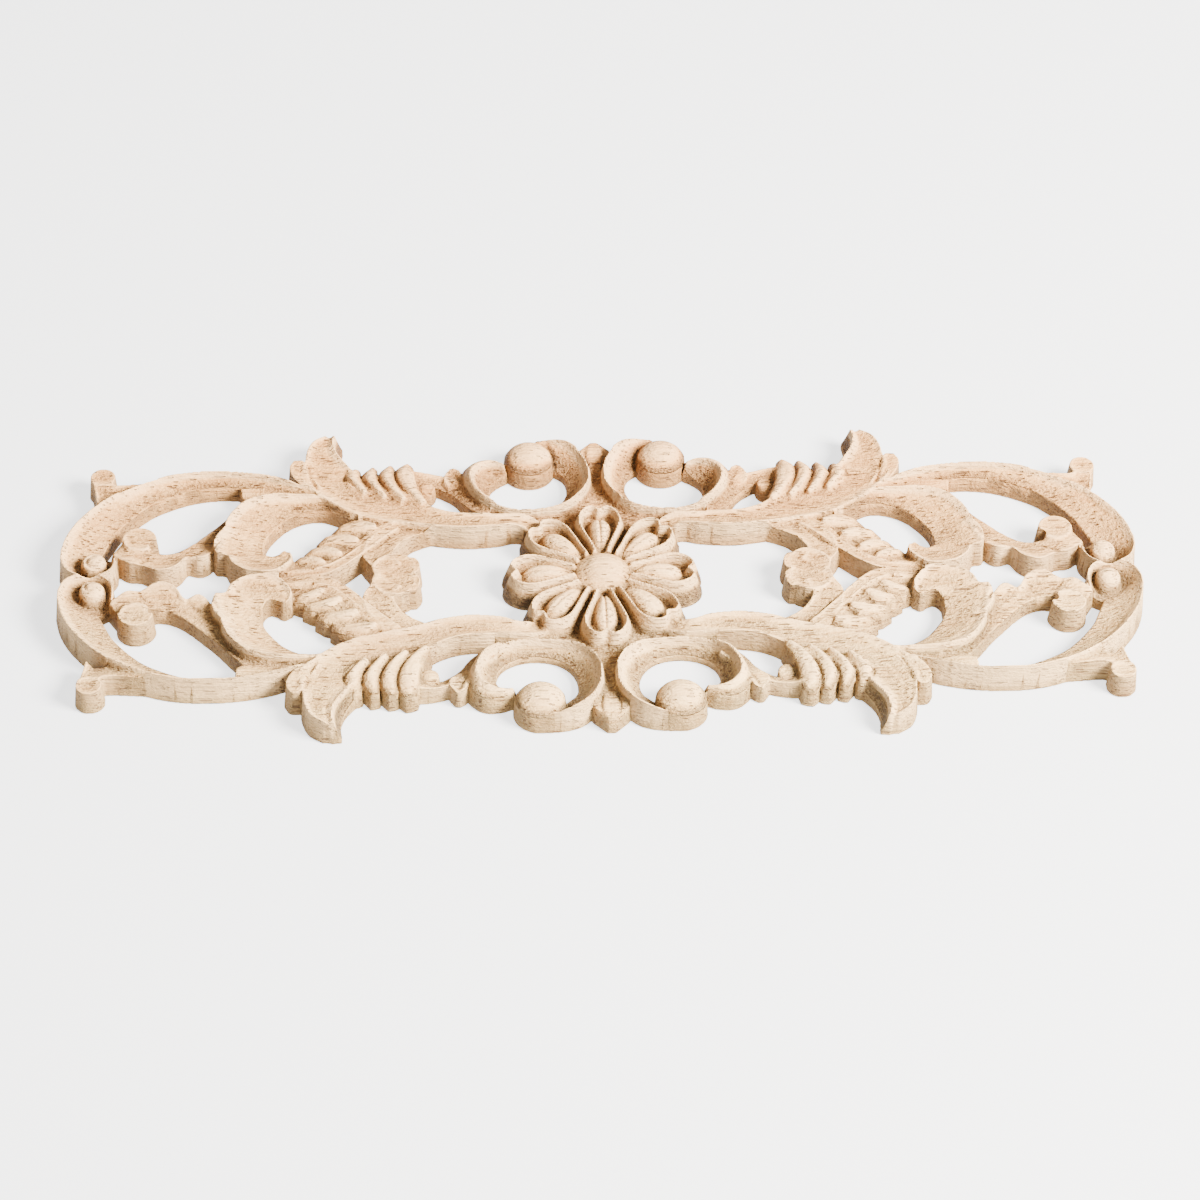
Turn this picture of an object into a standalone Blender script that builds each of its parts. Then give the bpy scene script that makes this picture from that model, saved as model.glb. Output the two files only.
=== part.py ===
"""Carved wood onlay: pierced scrollwork around an eight-petal rosette, flat on its back.

One quarter of the carving is described as a relief: every leaf, scroll and stem is a
surface swept between two edge curves, and the tallest surface wins wherever they cross.
The quarter is then triangulated once and mirrored about both middle lines.
Stations of the edge curves are millimetres (x out, y up, z above the back).
"""
import bpy
import numpy as np
from math import cos, pi, radians, sin, tan
from mathutils import Vector
from mathutils.geometry import delaunay_2d_cdt

# Overall size, metres
LENGTH = 0.3990
WIDTH = 0.1500
THICKNESS = 0.0130

# Rosette in the middle, millimetres
PETALS_PER_QUARTER = 2
PETAL_REACH = 33.6
PETAL_HALF_WIDTH = 7.7
PETAL_NOTCH = 2.0
PETAL_RIM_HEIGHT = 11.3
PETAL_FLARE = 3.2
POD_LENGTH = 19.0
POD_HEIGHT = 5.2
MOAT_DEPTH = 5.4
DOME_RADIUS = 10.3
DOME_DROP = 4.4

# Scrolls and leaves, millimetres
RIM_SHARE = 0.9385
BOSS_RADIUS = 4.7
CURL_RADIUS = 4.6
HOOK_RADIUS = 6.2
DISC_RADIUS = 7.9
BALL_RADIUS = 9.2
BALL_ROUNDING = 7.6
LEAF_HOLLOW = 1.9
SCROLL_HOLLOW = 1.1
FINGERS = 4
FINGER_WIDTH = 5.8
FINGER_CROWN = 2.0
LOBE_WIDTH = 5.4
WALL_DRAFT_DEG = 5.7

# Fineness of the carving, millimetres
CELL = 0.4
OUTLINE_TOLERANCE = 0.32
RELIEF_TOLERANCE = 1.08
SMALLEST_FACET = 1.9

WOOD_COLOUR = (0.80, 0.68, 0.54, 1.0)

# The stations are drawn 399 by 150 by 13 and stretched to the overall size
STRETCH = (LENGTH / 0.3990, WIDTH / 0.1500, THICKNESS / 0.0130)
RIM = 13.0 * RIM_SHARE
COLUMNS = int(206 * STRETCH[0] / CELL)
ROWS = int(86 * STRETCH[1] / CELL)
OUTSIDE = -40.0


def spline(points, count):
    """Smooth curve through points of any width; the first two columns set the spacing."""
    p = np.array(points, float)
    gap = np.hypot(*(p[1:, :2] - p[:-1, :2]).T)
    step = np.sqrt(np.maximum(gap, 0.4))
    at = np.concatenate([[0.0], np.cumsum(step)])
    slope = (p[1:] - p[:-1]) / step[:, None]
    tangent = np.empty_like(p)
    tangent[0] = slope[0]
    tangent[-1] = slope[-1]
    share = (step[:-1] / (step[:-1] + step[1:]))[:, None]
    tangent[1:-1] = slope[1:] * share + slope[:-1] * (1.0 - share)
    q = np.linspace(0.0, at[-1], count)
    k = np.clip(np.searchsorted(at, q, "right") - 1, 0, len(p) - 2)
    h = step[k][:, None]
    s = ((q - at[k]) / step[k])[:, None]
    a = (2 * s ** 3 - 3 * s ** 2 + 1) * p[k] + (s ** 3 - 2 * s ** 2 + s) * h * tangent[k]
    b = (3 * s ** 2 - 2 * s ** 3) * p[k + 1] + (s ** 3 - s ** 2) * h * tangent[k + 1]
    return a + b


def to_cells(x, y, z):
    """Mean height of the samples that land in each cell, zero where none does."""
    i = np.rint(x / CELL).astype(int)
    j = np.rint(y / CELL).astype(int)
    keep = (i >= 0) & (j >= 0) & (i < COLUMNS) & (j < ROWS)
    k = (j * COLUMNS + i)[keep]
    total = np.bincount(k, z[keep], COLUMNS * ROWS)
    count = np.bincount(k, minlength=COLUMNS * ROWS)
    return np.where(count > 0, total / np.maximum(count, 1), 0.0).reshape(ROWS, COLUMNS)


def blade(edge_a, edge_b, hollow=0.0):
    """Surface between two edges given as matching stations; hollow sags its middle."""
    a = np.array(edge_a, float) * STRETCH
    b = np.array(edge_b, float) * STRETCH
    middle = (a[:, :2] + b[:, :2]) / 2
    run = max(np.hypot(*(e[1:, :2] - e[:-1, :2]).T).sum() for e in (a, b))
    wide = np.hypot(*(a[:, :2] - b[:, :2]).T).max()
    along = int(run / (CELL * 0.4)) + 8
    across = int(wide / (CELL * 0.4)) + 8
    rungs = spline(np.column_stack([middle, a, b]), along)[:, 2:]
    t = np.linspace(0.0, 1.0, across)[None, :]
    x, y, z = (rungs[:, n:n + 1] * (1 - t) + rungs[:, n + 3:n + 4] * t for n in range(3))
    return to_cells(x.ravel(), y.ravel(), (z - hollow * 4 * t * (1 - t)).ravel())


def knob(x, y, centre, radii, top, drop, turn=0.0):
    """Round or oval button that falls by drop from its middle to its rim."""
    c = cos(radians(turn))
    s = sin(radians(turn))
    x = x - centre[0] * STRETCH[0]
    y = y - centre[1] * STRETCH[1]
    r = np.hypot((x * c + y * s) / radii[0], (y * c - x * s) / radii[1])
    return np.where(r <= 1.0, (top - drop * r ** 2) * STRETCH[2], 0.0)


def line_distance(x, y, line):
    """Distance from each place to a line of straight pieces."""
    best = np.full(x.shape, 1e9)
    for (x0, y0), (x1, y1) in zip(line[:-1], line[1:]):
        dx = x1 - x0
        dy = y1 - y0
        t = np.clip(((x - x0) * dx + (y - y0) * dy) / (dx * dx + dy * dy), 0.0, 1.0)
        best = np.minimum(best, np.hypot(x - x0 - t * dx, y - y0 - t * dy))
    return best


def within(x, y, sides):
    """True where a place lies inside the closed loops made by the sides."""
    odd = np.zeros(x.shape, bool)
    for (x0, y0), (x1, y1) in sides:
        if y0 != y1:
            crosses = (y0 > y) != (y1 > y)
            odd ^= crosses & (x < x0 + (y - y0) * (x1 - x0) / (y1 - y0))
    return odd


def sides_of(loops):
    return [side for loop in loops for side in zip(loop, loop[1:] + loop[:1])]


def petal_edge():
    """Half of one heart-shaped petal, from the dome round the lobe to the notch."""
    w = PETAL_HALF_WIDTH
    r = PETAL_REACH
    shape = [(8.0, 0.26 * w), (14.0, 0.5 * w), (20.0, 0.8 * w), (r - 8.1, w), (r - 3.6, 0.91 * w),
             (r - 0.6, 0.6 * w), (r, 0.34 * w), (r - PETAL_NOTCH / 2, 0.12 * w), (r - PETAL_NOTCH, 0.0)]
    return [tuple(q) for q in spline(shape, 40)]


def rosette(x, y):
    """Dome, petals with raised rims, and a pod lying in the hollow of each petal."""
    turn = pi / (2 * PETALS_PER_QUARTER)
    r = np.hypot(x, y)
    angle = np.arctan2(y, x)
    angle = angle - np.rint(angle / turn) * turn
    u = r * np.cos(angle)
    v = np.abs(r * np.sin(angle))
    edge = petal_edge()
    inner = within(u, v, sides_of([edge + [(8.0, 0.0)]]))
    away = line_distance(u, v, edge)
    outer = PETAL_RIM_HEIGHT - away * PETAL_FLARE
    outer = np.where(r < PETAL_REACH * 0.86, np.maximum(outer, 2.6), outer)
    moat = PETAL_RIM_HEIGHT - MOAT_DEPTH * np.clip((away - 0.5) / 1.7, 0.0, 1.0) ** 0.9
    reach = (u - PETAL_REACH + 13.4) / (POD_LENGTH / 2)
    side = v / (0.62 * PETAL_HALF_WIDTH * np.clip(0.5 + 0.034 * (u - 8.0), 0.5, 1.1))
    round_off = np.sqrt(np.clip(1.0 - reach ** 2 - side ** 2, 0.0, 1.0))
    pod = PETAL_RIM_HEIGHT - MOAT_DEPTH + POD_HEIGHT * round_off
    petals = np.where(inner, np.where(round_off > 0, np.maximum(moat, pod), moat), outer)
    dome = THICKNESS * 1000 - DOME_DROP * (r / DOME_RADIUS) ** 2.2
    return np.where(r < DOME_RADIUS, dome, np.maximum(petals, 0.0))


def end_scroll(x, y):
    """Big sweeping ribbon that ends in a dished volute round a boss."""
    lip = [(104, 44, 10), (118, 50.2, RIM), (130, 53.3, RIM), (142, 54.3, RIM), (153, 53.6, RIM),
           (163, 51, RIM), (173, 46.3, RIM), (181.4, 40.5, RIM), (189, 32.4, RIM), (194.3, 24, RIM),
           (197.2, 15, RIM), (197.6, 8, RIM), (194.6, 2.0, RIM), (187.5, -0.8, RIM), (181, 1.5, 11.8),
           (178.3, 6.5, 11.4), (178.6, 11.5, 9)]
    inner = [(106, 40.5, 7), (118, 46.8, 7), (130, 49.8, 6.8), (141, 50.7, 6.8), (151, 49.2, 6.8),
             (160, 45.5, 6.8), (167, 41, 6.6), (173, 34.8, 6.4), (178, 28, 6.2), (181, 21.5, 6.0),
             (184.5, 14, 5.0), (189.5, 8, 4.6), (189, 4.5, 4.6), (186.2, 3.2, 4.6), (183.2, 4.6, 4.6),
             (182, 7.5, 4.6), (183, 10.5, 4.6)]
    return [blade(lip, inner, SCROLL_HOLLOW),
            knob(x, y, (185.7, 7.2), (BOSS_RADIUS, BOSS_RADIUS), RIM + 0.3, 2.4),
            knob(x, y, (184.0, 10.5), (BOSS_RADIUS * 1.38, BOSS_RADIUS * 0.96), 4.8, 0.5, 30)]


def corner_curl(x, y):
    """Small round curl that stands off the outside of the ribbon, with a pointed spur."""
    top = [(160, 51.2, 8), (170, 50.2, 9.4), (176, 49.8, 9.6), (180.4, 50.2, 9.4), (181.4, 53, 9.2)]
    low = [(165, 45, 8), (174, 44, 8), (181, 43.5, 7.0), (185.6, 44.8, 6.6), (187.2, 50, 7.4)]
    spur = [(181.2, 45.5, 6.0), (184.2, 46.8, 7.6), (185.4, 50, 8.6)]
    side = [(186.2, 41.6, 8.6), (186.8, 46, 9.0), (187.9, 51.5, 9.2)]
    return [blade(top, low, 0.4), blade(spur, side, 0.5),
            knob(x, y, (184.6, 54.1), (CURL_RADIUS, CURL_RADIUS), 8.6, -1.0)]


def hooked_leaf(x, y):
    """Broad leaf that curls down from under the acanthus to a hook near the middle line."""
    crest = [(92, 40, 8), (106, 42.2, 11.5), (115, 42.6, 12), (123, 41.8, 12), (130, 39.2, 12),
             (135, 34, 12), (138, 28, 12), (138.8, 24.2, 12), (141.8, 19, 12), (142.2, 14.5, 11.8),
             (140.8, 10.6, 11.5)]
    inner = [(92, 33, 6), (103, 38, 6), (110.5, 36.8, 5.7), (116.5, 33, 5.7), (121, 27.5, 5.7),
             (123.5, 23, 5.7), (124.5, 19, 5.7), (124.6, 16.5, 6), (124.2, 14, 6.5), (123, 12, 7.5),
             (122, 11, 8)]
    hook = [(140.8, 10.8, 11.5), (137.2, 9.8, 11.5), (135.2, 5.8, 11.6), (131, 2.2, 11.6),
            (125.5, 0.8, 11.6), (120, 1.0, 11.6), (115.8, 4.5, 11.2), (113.6, 8.5, 10.6), (114.2, 12, 10)]
    palm = [(124.5, 14, 7), (123.5, 12.3, 8), (122, 11.2, 8.5), (121, 11, 8.5), (120, 11.2, 8.5),
            (119, 11.6, 8.5), (118, 12.2, 8.6), (117.2, 13, 9), (116.2, 13.6, 9.4)]
    bud = [(102, 44, 7), (115, 47.6, 7), (126, 49.4, 7.5), (133, 48.8, 7.5)]
    under = [(102, 38, 6), (115, 41, 6), (125, 41, 6), (132.6, 44, 6.5)]
    return [blade(crest, inner, 0.7), blade(hook, palm, 1.2), blade(bud, under, -0.6)]


def stem_leaf(x, y):
    """Lobed stem between the hooked leaf and the volute, ending in a turned-back hook."""
    top = [(128, 46, 7), (135, 37.5, 6.5), (140, 31, 6.3), (145, 25.5, 6.3), (150, 20.3, 6.3),
           (155, 16.3, 6.5), (160, 14.4, 7), (165, 14.8, 8), (168, 17, 9), (170, 20, 9.6), (173, 23, 9.8)]
    low = [(124, 38, 7), (131, 32, 7), (137, 22, 8), (142.8, 13.4, 9.0), (147, 9.8, 10.2),
           (152.3, 10.6, 9.4), (156, 5.3, 10.2), (161.8, 3, 10.4), (168.2, 6.8, 9.4), (173, 7.6, 10.2),
           (179.4, 12.5, 9.0)]
    hook = knob(x, y, (169.6, 19.4), (HOOK_RADIUS, HOOK_RADIUS * 0.97), 9.2, -1.2)
    bay = knob(x, y, (163.6, 16.8), (HOOK_RADIUS * 0.42, HOOK_RADIUS * 0.36), 1.0, 0.0) > 0
    return [np.where(bay, 0.0, np.maximum(blade(top, low, 0.9), hook))]


def acanthus(x, y):
    """Main leaf: long stem from the rosette, hollow blade, big tip, side lobe and fingers."""
    left = [(14, 24, 4), (27, 31.6, 9.5), (38, 31.8, 9.8), (50, 31.9, 9.8), (58, 34, 9.5), (65, 38.5, 9),
            (70, 44, 9), (77, 47.5, 9), (84, 50, 9.5), (90, 54, 10), (94, 60, 10.5), (97.5, 66, 11),
            (98.5, 71, 11), (98.3, 75, 11)]
    right = [(20, 18, 4), (30, 25.4, 9.5), (39, 24, 11), (50, 23.3, 11), (61, 24.8, 10.5), (73, 27.5, 9.5),
             (85, 30.5, 9.3), (96, 35.6, 10.2), (105, 43, 10.6), (110.5, 51, 11), (109, 60, 11),
             (108.3, 66, 11), (106, 71.5, 11), (101.5, 74.8, 11)]
    lobe = [(103, 46, 10.2), (107, 53, 10.8), (108.6, 58, 11), (110.5, 60.8, 11)]
    lobe_side = [(109.5, 46.5, 10.5), (113.3, 51.5, 10.8), (114.8, 57, 11), (113.2, 60.6, 11)]
    crest = [(92.5, 57.5, 9.5), (97, 63.5, 10.6), (98.6, 69, 11), (98.4, 75.2, 11)]
    flank = [(91.0, 59.0, 5), (94.6, 64.5, 3), (95.9, 69.5, 2), (95.4, 75.8, 2)]
    return [blade(left, right, LEAF_HOLLOW), blade(lobe, lobe_side, 0.5), blade(crest, flank, 0.8)] + [
        finger(n / (FINGERS - 1)) for n in range(FINGERS)]


def ridge(spine, girth, swell, lift, crown):
    """Rounded ridge along a spine: swell is its width and lift its height from root to tip."""
    line = spline(spine, 9)
    along = np.gradient(line, axis=0)
    along /= np.hypot(along[:, 0], along[:, 1])[:, None]
    at = np.linspace(0.0, 1.0, 9)
    half = girth / 2 * np.interp(at, np.linspace(0.0, 1.0, len(swell)), swell)
    high = np.interp(at, np.linspace(0.0, 1.0, len(lift)), lift)
    normal = np.column_stack([-along[:, 1], along[:, 0]]) * half[:, None]
    left = np.column_stack([line + normal, high])
    right = np.column_stack([line - normal, high])
    return blade(left, right, -crown)


def finger(n):
    """One rounded finger on the acanthus edge; n runs from 0 (by the stem) to 1 (by the tip)."""
    root = (65.0 + 21.5 * n, 38.0 + 5.5 * n)
    tip = (70.7 + 19.3 * n, 60.6 - 2.4 * n)
    spine = [root, (root[0] + 5.0 - 1.6 * n, root[1] + 7.0 - 2.5 * n), (tip[0] + 1.5, tip[1] - 6.5), tip]
    girth = FINGER_WIDTH * (1.34 - 1.2 * n + 0.9 * n * n)
    return ridge(spine, girth, (0.4, 0.7, 0.95, 1.08, 1.0, 0.5), (8.6, 9.0, 9.0, 8.8, 8.0, 6.4), FINGER_CROWN)


def ball_scroll(x, y):
    """C-shaped scroll with a hollow inside face, a ball at one end and a bulb at the other."""
    lip = [(28, 71.4, 7.5), (18.5, 71.4, 10.2), (10.5, 68.6, RIM), (5.2, 62.5, RIM), (2.6, 55, RIM),
           (3, 47.5, RIM), (6.5, 41, 12), (12, 36.5, 11.2), (20, 34.4, 10.4), (30, 34, 10.2),
           (38, 36.6, 10.6), (43.6, 41.5, 11.4), (46.6, 47, 12), (47.2, 52.5, 11.8), (45.2, 56.6, 11.2),
           (41.6, 59.0, 10.6), (37.5, 59.6, 10), (34.8, 58.6, 9)]
    hole = [(21, 64, 4), (15.6, 61, 3.4), (12, 57.7, 3), (10.8, 54, 3), (10.8, 49.5, 3), (12.2, 45, 3),
            (15.2, 41.1, 3), (19.6, 38.5, 3), (26, 37.5, 3), (32, 38.4, 3), (36.5, 40.8, 3), (39.4, 44, 3),
            (40.6, 48, 3), (40.2, 51.5, 3.2), (38, 54.5, 3.6), (35.6, 56.6, 4.4), (34.2, 57.6, 5.4),
            (33.6, 58.2, 6.4)]
    shell = [(40, 37, 9), (45, 41, 10), (49.2, 46.5, 7.5), (50.6, 52.5, 7), (49.2, 58, 7), (44.6, 61.8, 7),
             (38.8, 61.8, 7), (34.6, 60.2, 7)]
    crest = [(38, 37, 10.4), (43, 41.5, 11.4), (46.2, 47, 12), (46.8, 52.5, 11.8), (44.8, 56.4, 11.2),
             (41.4, 58.6, 10.6), (37.4, 59.2, 10), (34.6, 58.4, 9)]
    foot = [(12, 30, 4), (20, 29, 4), (30, 28, 4), (40, 28, 4)]
    back = [(8, 39, 4), (18, 36, 4), (30, 35.5, 4), (40, 37, 4)]
    ball = knob(x, y, (25.0, 63.4), (BALL_RADIUS, BALL_RADIUS * 0.96), 1.0, 0.97) / STRETCH[2]
    ball = np.where(ball > 0, 12.6 * STRETCH[2] - BALL_ROUNDING * (1.0 - np.sqrt(np.abs(ball))), 0.0)
    return [blade(lip, hole, SCROLL_HOLLOW * 1.4), blade(crest, shell, -1.1), blade(foot, back), ball]


def bud_and_arc(x, y):
    """Pointed bud, and the thin arc that joins the ball scroll to the first finger."""
    bud = [(48, 46, 7), (50.2, 53, 8), (51.5, 57, 8), (53.8, 58.8, 8)]
    bud_side = [(54, 48, 6), (57, 51.5, 7), (56.8, 55, 7.5), (54.6, 58.6, 8)]
    outer = [(40, 42, 9), (49, 49.5, 8), (53.5, 53, 7.5), (59, 55.3, 7), (64, 56.5, 7.5), (70, 57, 8.5)]
    inner = [(41, 34, 5), (48.5, 39.5, 5), (53, 45.5, 4.5), (57, 49, 4.5), (61.5, 51, 4.5), (68, 47, 5)]
    return [blade(bud, bud_side, 0.8), blade(outer, inner, 0.5),
            knob(x, y, (63.8, 49.3), (3.0, 3.6), 6.5, 0.6, 20)]


def frond(x, y):
    """Toothed frond that runs from the acanthus down to the middle line."""
    vein = [(76, 28, 8.8), (83, 22.5, 9), (88, 17, 9), (93, 11.5, 9.3), (98, 7.2, 9.6), (105, 4.2, 9.6),
            (118, 3.2, 8)]
    teeth = [(84, 33, 7), (92, 27.5, 5.6), (97, 23.0, 5.2), (100.5, 19.0, 5.2), (104.4, 15.0, 5.2),
             (109, 11.2, 5.4), (118, 9.0, 6)]
    second = [(74, 26, 8.6), (81, 19, 9), (86.5, 13.5, 9), (91, 8.5, 9.3), (95.5, 4.5, 9.6),
              (101, 1, 9.6), (118, -2, 8)]
    fold = [(80, 28, 8.8), (86.5, 22, 9), (90.5, 15.5, 9), (95.5, 10, 9.3), (100, 6, 9.6),
            (106, 3.6, 9.6), (118, 3, 8)]
    lobes = [[(83, 26.0), (90, 26.6), (98.6, 23.6)], [(89.5, 18.5), (96.5, 20.2), (104.2, 18.0)],
             [(95.5, 11.5), (102, 14.0), (109.0, 13.0)], [(101.5, 6.6), (107.5, 9.6), (113.0, 9.4)]]
    return [blade(vein, teeth, 0.8), blade(second, fold, 0.9)] + [
        ridge(spine, LOBE_WIDTH * (1.3 - 0.14 * n), (0.4, 0.9, 1.05, 1.0, 0.6),
              (8.8, 8.4, 7.8, 7.0, 5.0), 1.3) for n, spine in enumerate(lobes)]


def middle_curl(x, y):
    """Broad curl under the acanthus whose round end meets its mirror image."""
    window = [(60, 26, 7), (70.5, 21, 8), (75.2, 15.8, 8.5), (76.8, 11.5, 9), (75.6, 8, 9.5), (73.5, 6, 9.8)]
    inner = [(78, 30, 8), (85, 21, 9), (87.3, 15, 9), (87.4, 10, 9), (85, 5.6, 9.4), (82, 0, 9.8)]
    horn = [(70.5, -1, 9.8), (67.4, 2, 9.8), (67.2, 5.6, 9.8), (68.8, 8.6, 9.6)]
    horn_side = [(75, 0, 8.2), (73.4, 3, 8.4), (72.0, 5.4, 9.0), (70.4, 8.4, 9.6)]
    return [blade(window, inner, 1.2), blade(horn, horn_side, 0.5),
            knob(x, y, (76.4, 3.6), (DISC_RADIUS, DISC_RADIUS * 0.93), 7.9, -1.9)]


def fleuron(x, y):
    """Narrow leaf on the middle line, rising from behind the top petal."""
    ridge = [(0, 26, 3), (0, 48, 5), (0, 58, 5.5), (0, 66, 7.5), (0, 72.6, 7)]
    side = [(16, 28, 3), (3.6, 46, 5), (3.9, 58, 5.5), (6.3, 66.5, 7), (1, 72.6, 7)]
    return [blade(ridge, side, -0.3)]


def carve():
    """Height of the quarter relief on a grid, and the same with its walls leaning out."""
    x, y = np.meshgrid(np.arange(COLUMNS) * CELL, np.arange(ROWS) * CELL)
    parts = [rosette(x, y)]
    for shape in (end_scroll, corner_curl, hooked_leaf, stem_leaf, acanthus, ball_scroll,
                  bud_and_arc, frond, middle_curl, fleuron):
        parts += shape(x, y)
    tall = np.max(parts, axis=0)
    tall = np.where(tall > 1.0, tall, OUTSIDE)
    slope = CELL / tan(radians(max(WALL_DRAFT_DEG, 2.0)))
    reach = max(3, int(THICKNESS * 1000 / slope) + 1)
    big = np.pad(tall, ((reach, 0), (reach, 0)), "reflect")
    big = np.pad(big, ((0, reach), (0, reach)), constant_values=OUTSIDE)
    lean = np.full(tall.shape, OUTSIDE)
    for j in range(-reach, reach + 1):
        for i in range(-reach, reach + 1):
            r = (i * i + j * j) ** 0.5
            if r <= reach + 0.5:
                moved = big[reach + j:reach + j + ROWS, reach + i:reach + i + COLUMNS]
                lean = np.maximum(lean, moved - r * slope)
    return tall, lean


def soften(field, weight):
    """Blend each cell with its neighbours, counting only cells that have weight."""
    for axis in (0, 1):
        f = np.pad(field * weight, 1, "reflect")
        w = np.pad(weight, 1, "reflect")
        if axis:
            f = f[1:-1]
            w = w[1:-1]
            top = f[:, :-2] + 2 * f[:, 1:-1] + f[:, 2:]
            low = w[:, :-2] + 2 * w[:, 1:-1] + w[:, 2:]
        else:
            f = f[:, 1:-1]
            w = w[:, 1:-1]
            top = f[:-2] + 2 * f[1:-1] + f[2:]
            low = w[:-2] + 2 * w[1:-1] + w[2:]
        field = np.where(low > 0, top / np.maximum(low, 1e-9), field)
        weight = np.minimum(low / 4, 1.0)
    return field


def sample(field, x, y):
    """Height between the cells."""
    u = np.clip(np.asarray(x) / CELL, 0, COLUMNS - 1.001)
    v = np.clip(np.asarray(y) / CELL, 0, ROWS - 1.001)
    i = u.astype(int)
    j = v.astype(int)
    u = u - i
    v = v - j
    low = field[j, i] * (1 - u) + field[j, i + 1] * u
    top = field[j + 1, i] * (1 - u) + field[j + 1, i + 1] * u
    return low * (1 - v) + top * v


SEGMENTS = {1: "03", 2: "10", 3: "13", 4: "21", 5: "0321", 6: "20", 7: "23", 8: "32", 9: "02",
            10: "1032", 11: "12", 12: "31", 13: "01", 14: "30"}


def trace(field):
    """Closed loops where the field passes zero, with the quarter closed along its axes."""
    f = np.pad(field, 1, constant_values=-1e7)
    up = f > 0
    code = up[:-1, :-1] + 2 * up[:-1, 1:] + 4 * up[1:, 1:] + 8 * up[1:, :-1]
    nexts = {}
    places = {}
    for j, i in zip(*np.nonzero((code > 0) & (code < 15))):
        corner = ((j, i), (j, i + 1), (j + 1, i + 1), (j + 1, i))
        marks = SEGMENTS[int(code[j, i])]
        ends = []
        for m in marks:
            a = corner[int(m)]
            b = corner[(int(m) + 1) % 4]
            key = (min(a, b), max(a, b))
            if key not in places:
                t = f[a] / (f[a] - f[b])
                px = (a[1] + t * (b[1] - a[1]) - 1) * CELL
                py = (a[0] + t * (b[0] - a[0]) - 1) * CELL
                places[key] = (max(0.0, round(px, 4)), max(0.0, round(py, 4)))
            ends.append(key)
        for a, b in zip(ends[::2], ends[1::2]):
            nexts[a] = b
    loops = []
    while nexts:
        start, here = nexts.popitem()
        loop = [places[start]]
        while here != start:
            loop.append(places[here])
            here = nexts.pop(here)
        loops.append(loop)
    return loops


def area(loop):
    p = np.array(loop)
    q = np.roll(p, -1, 0)
    return 0.5 * float((p[:, 0] * q[:, 1] - q[:, 0] * p[:, 1]).sum())


def thin_line(points, tolerance):
    """Keep only the points needed to stay within tolerance of the line."""
    p = np.array(points)
    keep = {0, len(p) - 1}
    jobs = [(0, len(p) - 1)]
    while jobs:
        a, b = jobs.pop()
        if b - a < 2:
            continue
        d = p[b] - p[a]
        q = p[a + 1:b] - p[a]
        size = max(float(np.hypot(*d)), 1e-9)
        off = np.abs(d[0] * q[:, 1] - d[1] * q[:, 0]) / size if size > 1e-6 else np.hypot(*q.T)
        k = int(np.argmax(off))
        if off[k] > tolerance:
            keep.add(a + 1 + k)
            jobs += [(a, a + 1 + k), (a + 1 + k, b)]
    return [points[k] for k in sorted(keep)]


def thin_loop(loop, tolerance):
    """Thin a closed loop, keeping the corners where it meets the middle lines."""
    on_axis = [p[0] == 0.0 or p[1] == 0.0 for p in loop]
    corners = [k for k in range(len(loop)) if on_axis[k] and not (on_axis[k - 1] and
               on_axis[(k + 1) % len(loop)])]
    corners += [k for k in range(len(loop)) if loop[k] == (0.0, 0.0)]
    if len(corners) < 2:
        p = np.array(loop)
        first = int(np.argmax(p[:, 0] + p[:, 1]))
        corners = [first, int(np.argmax(np.hypot(*(p - p[first]).T)))]
    corners = sorted(set(corners))
    out = []
    for a, b in zip(corners, corners[1:] + [corners[0] + len(loop)]):
        run = [loop[k % len(loop)] for k in range(a, b + 1)]
        out += thin_line(run, tolerance)[:-1]
    return out


def outlines(field, tolerance, smallest):
    loops = [thin_loop(loop, tolerance) for loop in trace(field) if abs(area(loop)) > smallest]
    return [loop for loop in loops if len(loop) > 2]


def fill(points, chains, sides):
    """Triangles that honour the chains of points and lie inside the bounding sides."""
    verts, _, faces, _, _, _ = delaunay_2d_cdt([Vector(p) for p in points], chains, [], 0, 1e-6)
    xy = np.array([(v.x, v.y) for v in verts])
    tri = np.array([f for f in faces if len(f) == 3])
    mid = xy[tri].mean(1)
    a, b, c = xy[tri[:, 0]], xy[tri[:, 1]], xy[tri[:, 2]]
    turn = (b[:, 0] - a[:, 0]) * (c[:, 1] - a[:, 1]) - (b[:, 1] - a[:, 1]) * (c[:, 0] - a[:, 0])
    tri = np.where((turn < 0)[:, None], tri[:, ::-1], tri)
    return xy, tri[within(mid[:, 0], mid[:, 1], sides) & (np.abs(turn) > 1e-7)]


def chain(points, loops):
    """Append loops to a list of points and return the edges that hold them."""
    edges = []
    for loop in loops:
        base = len(points)
        points += loop
        edges += [(base + k, base + (k + 1) % len(loop)) for k in range(len(loop))]
    return edges


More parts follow.
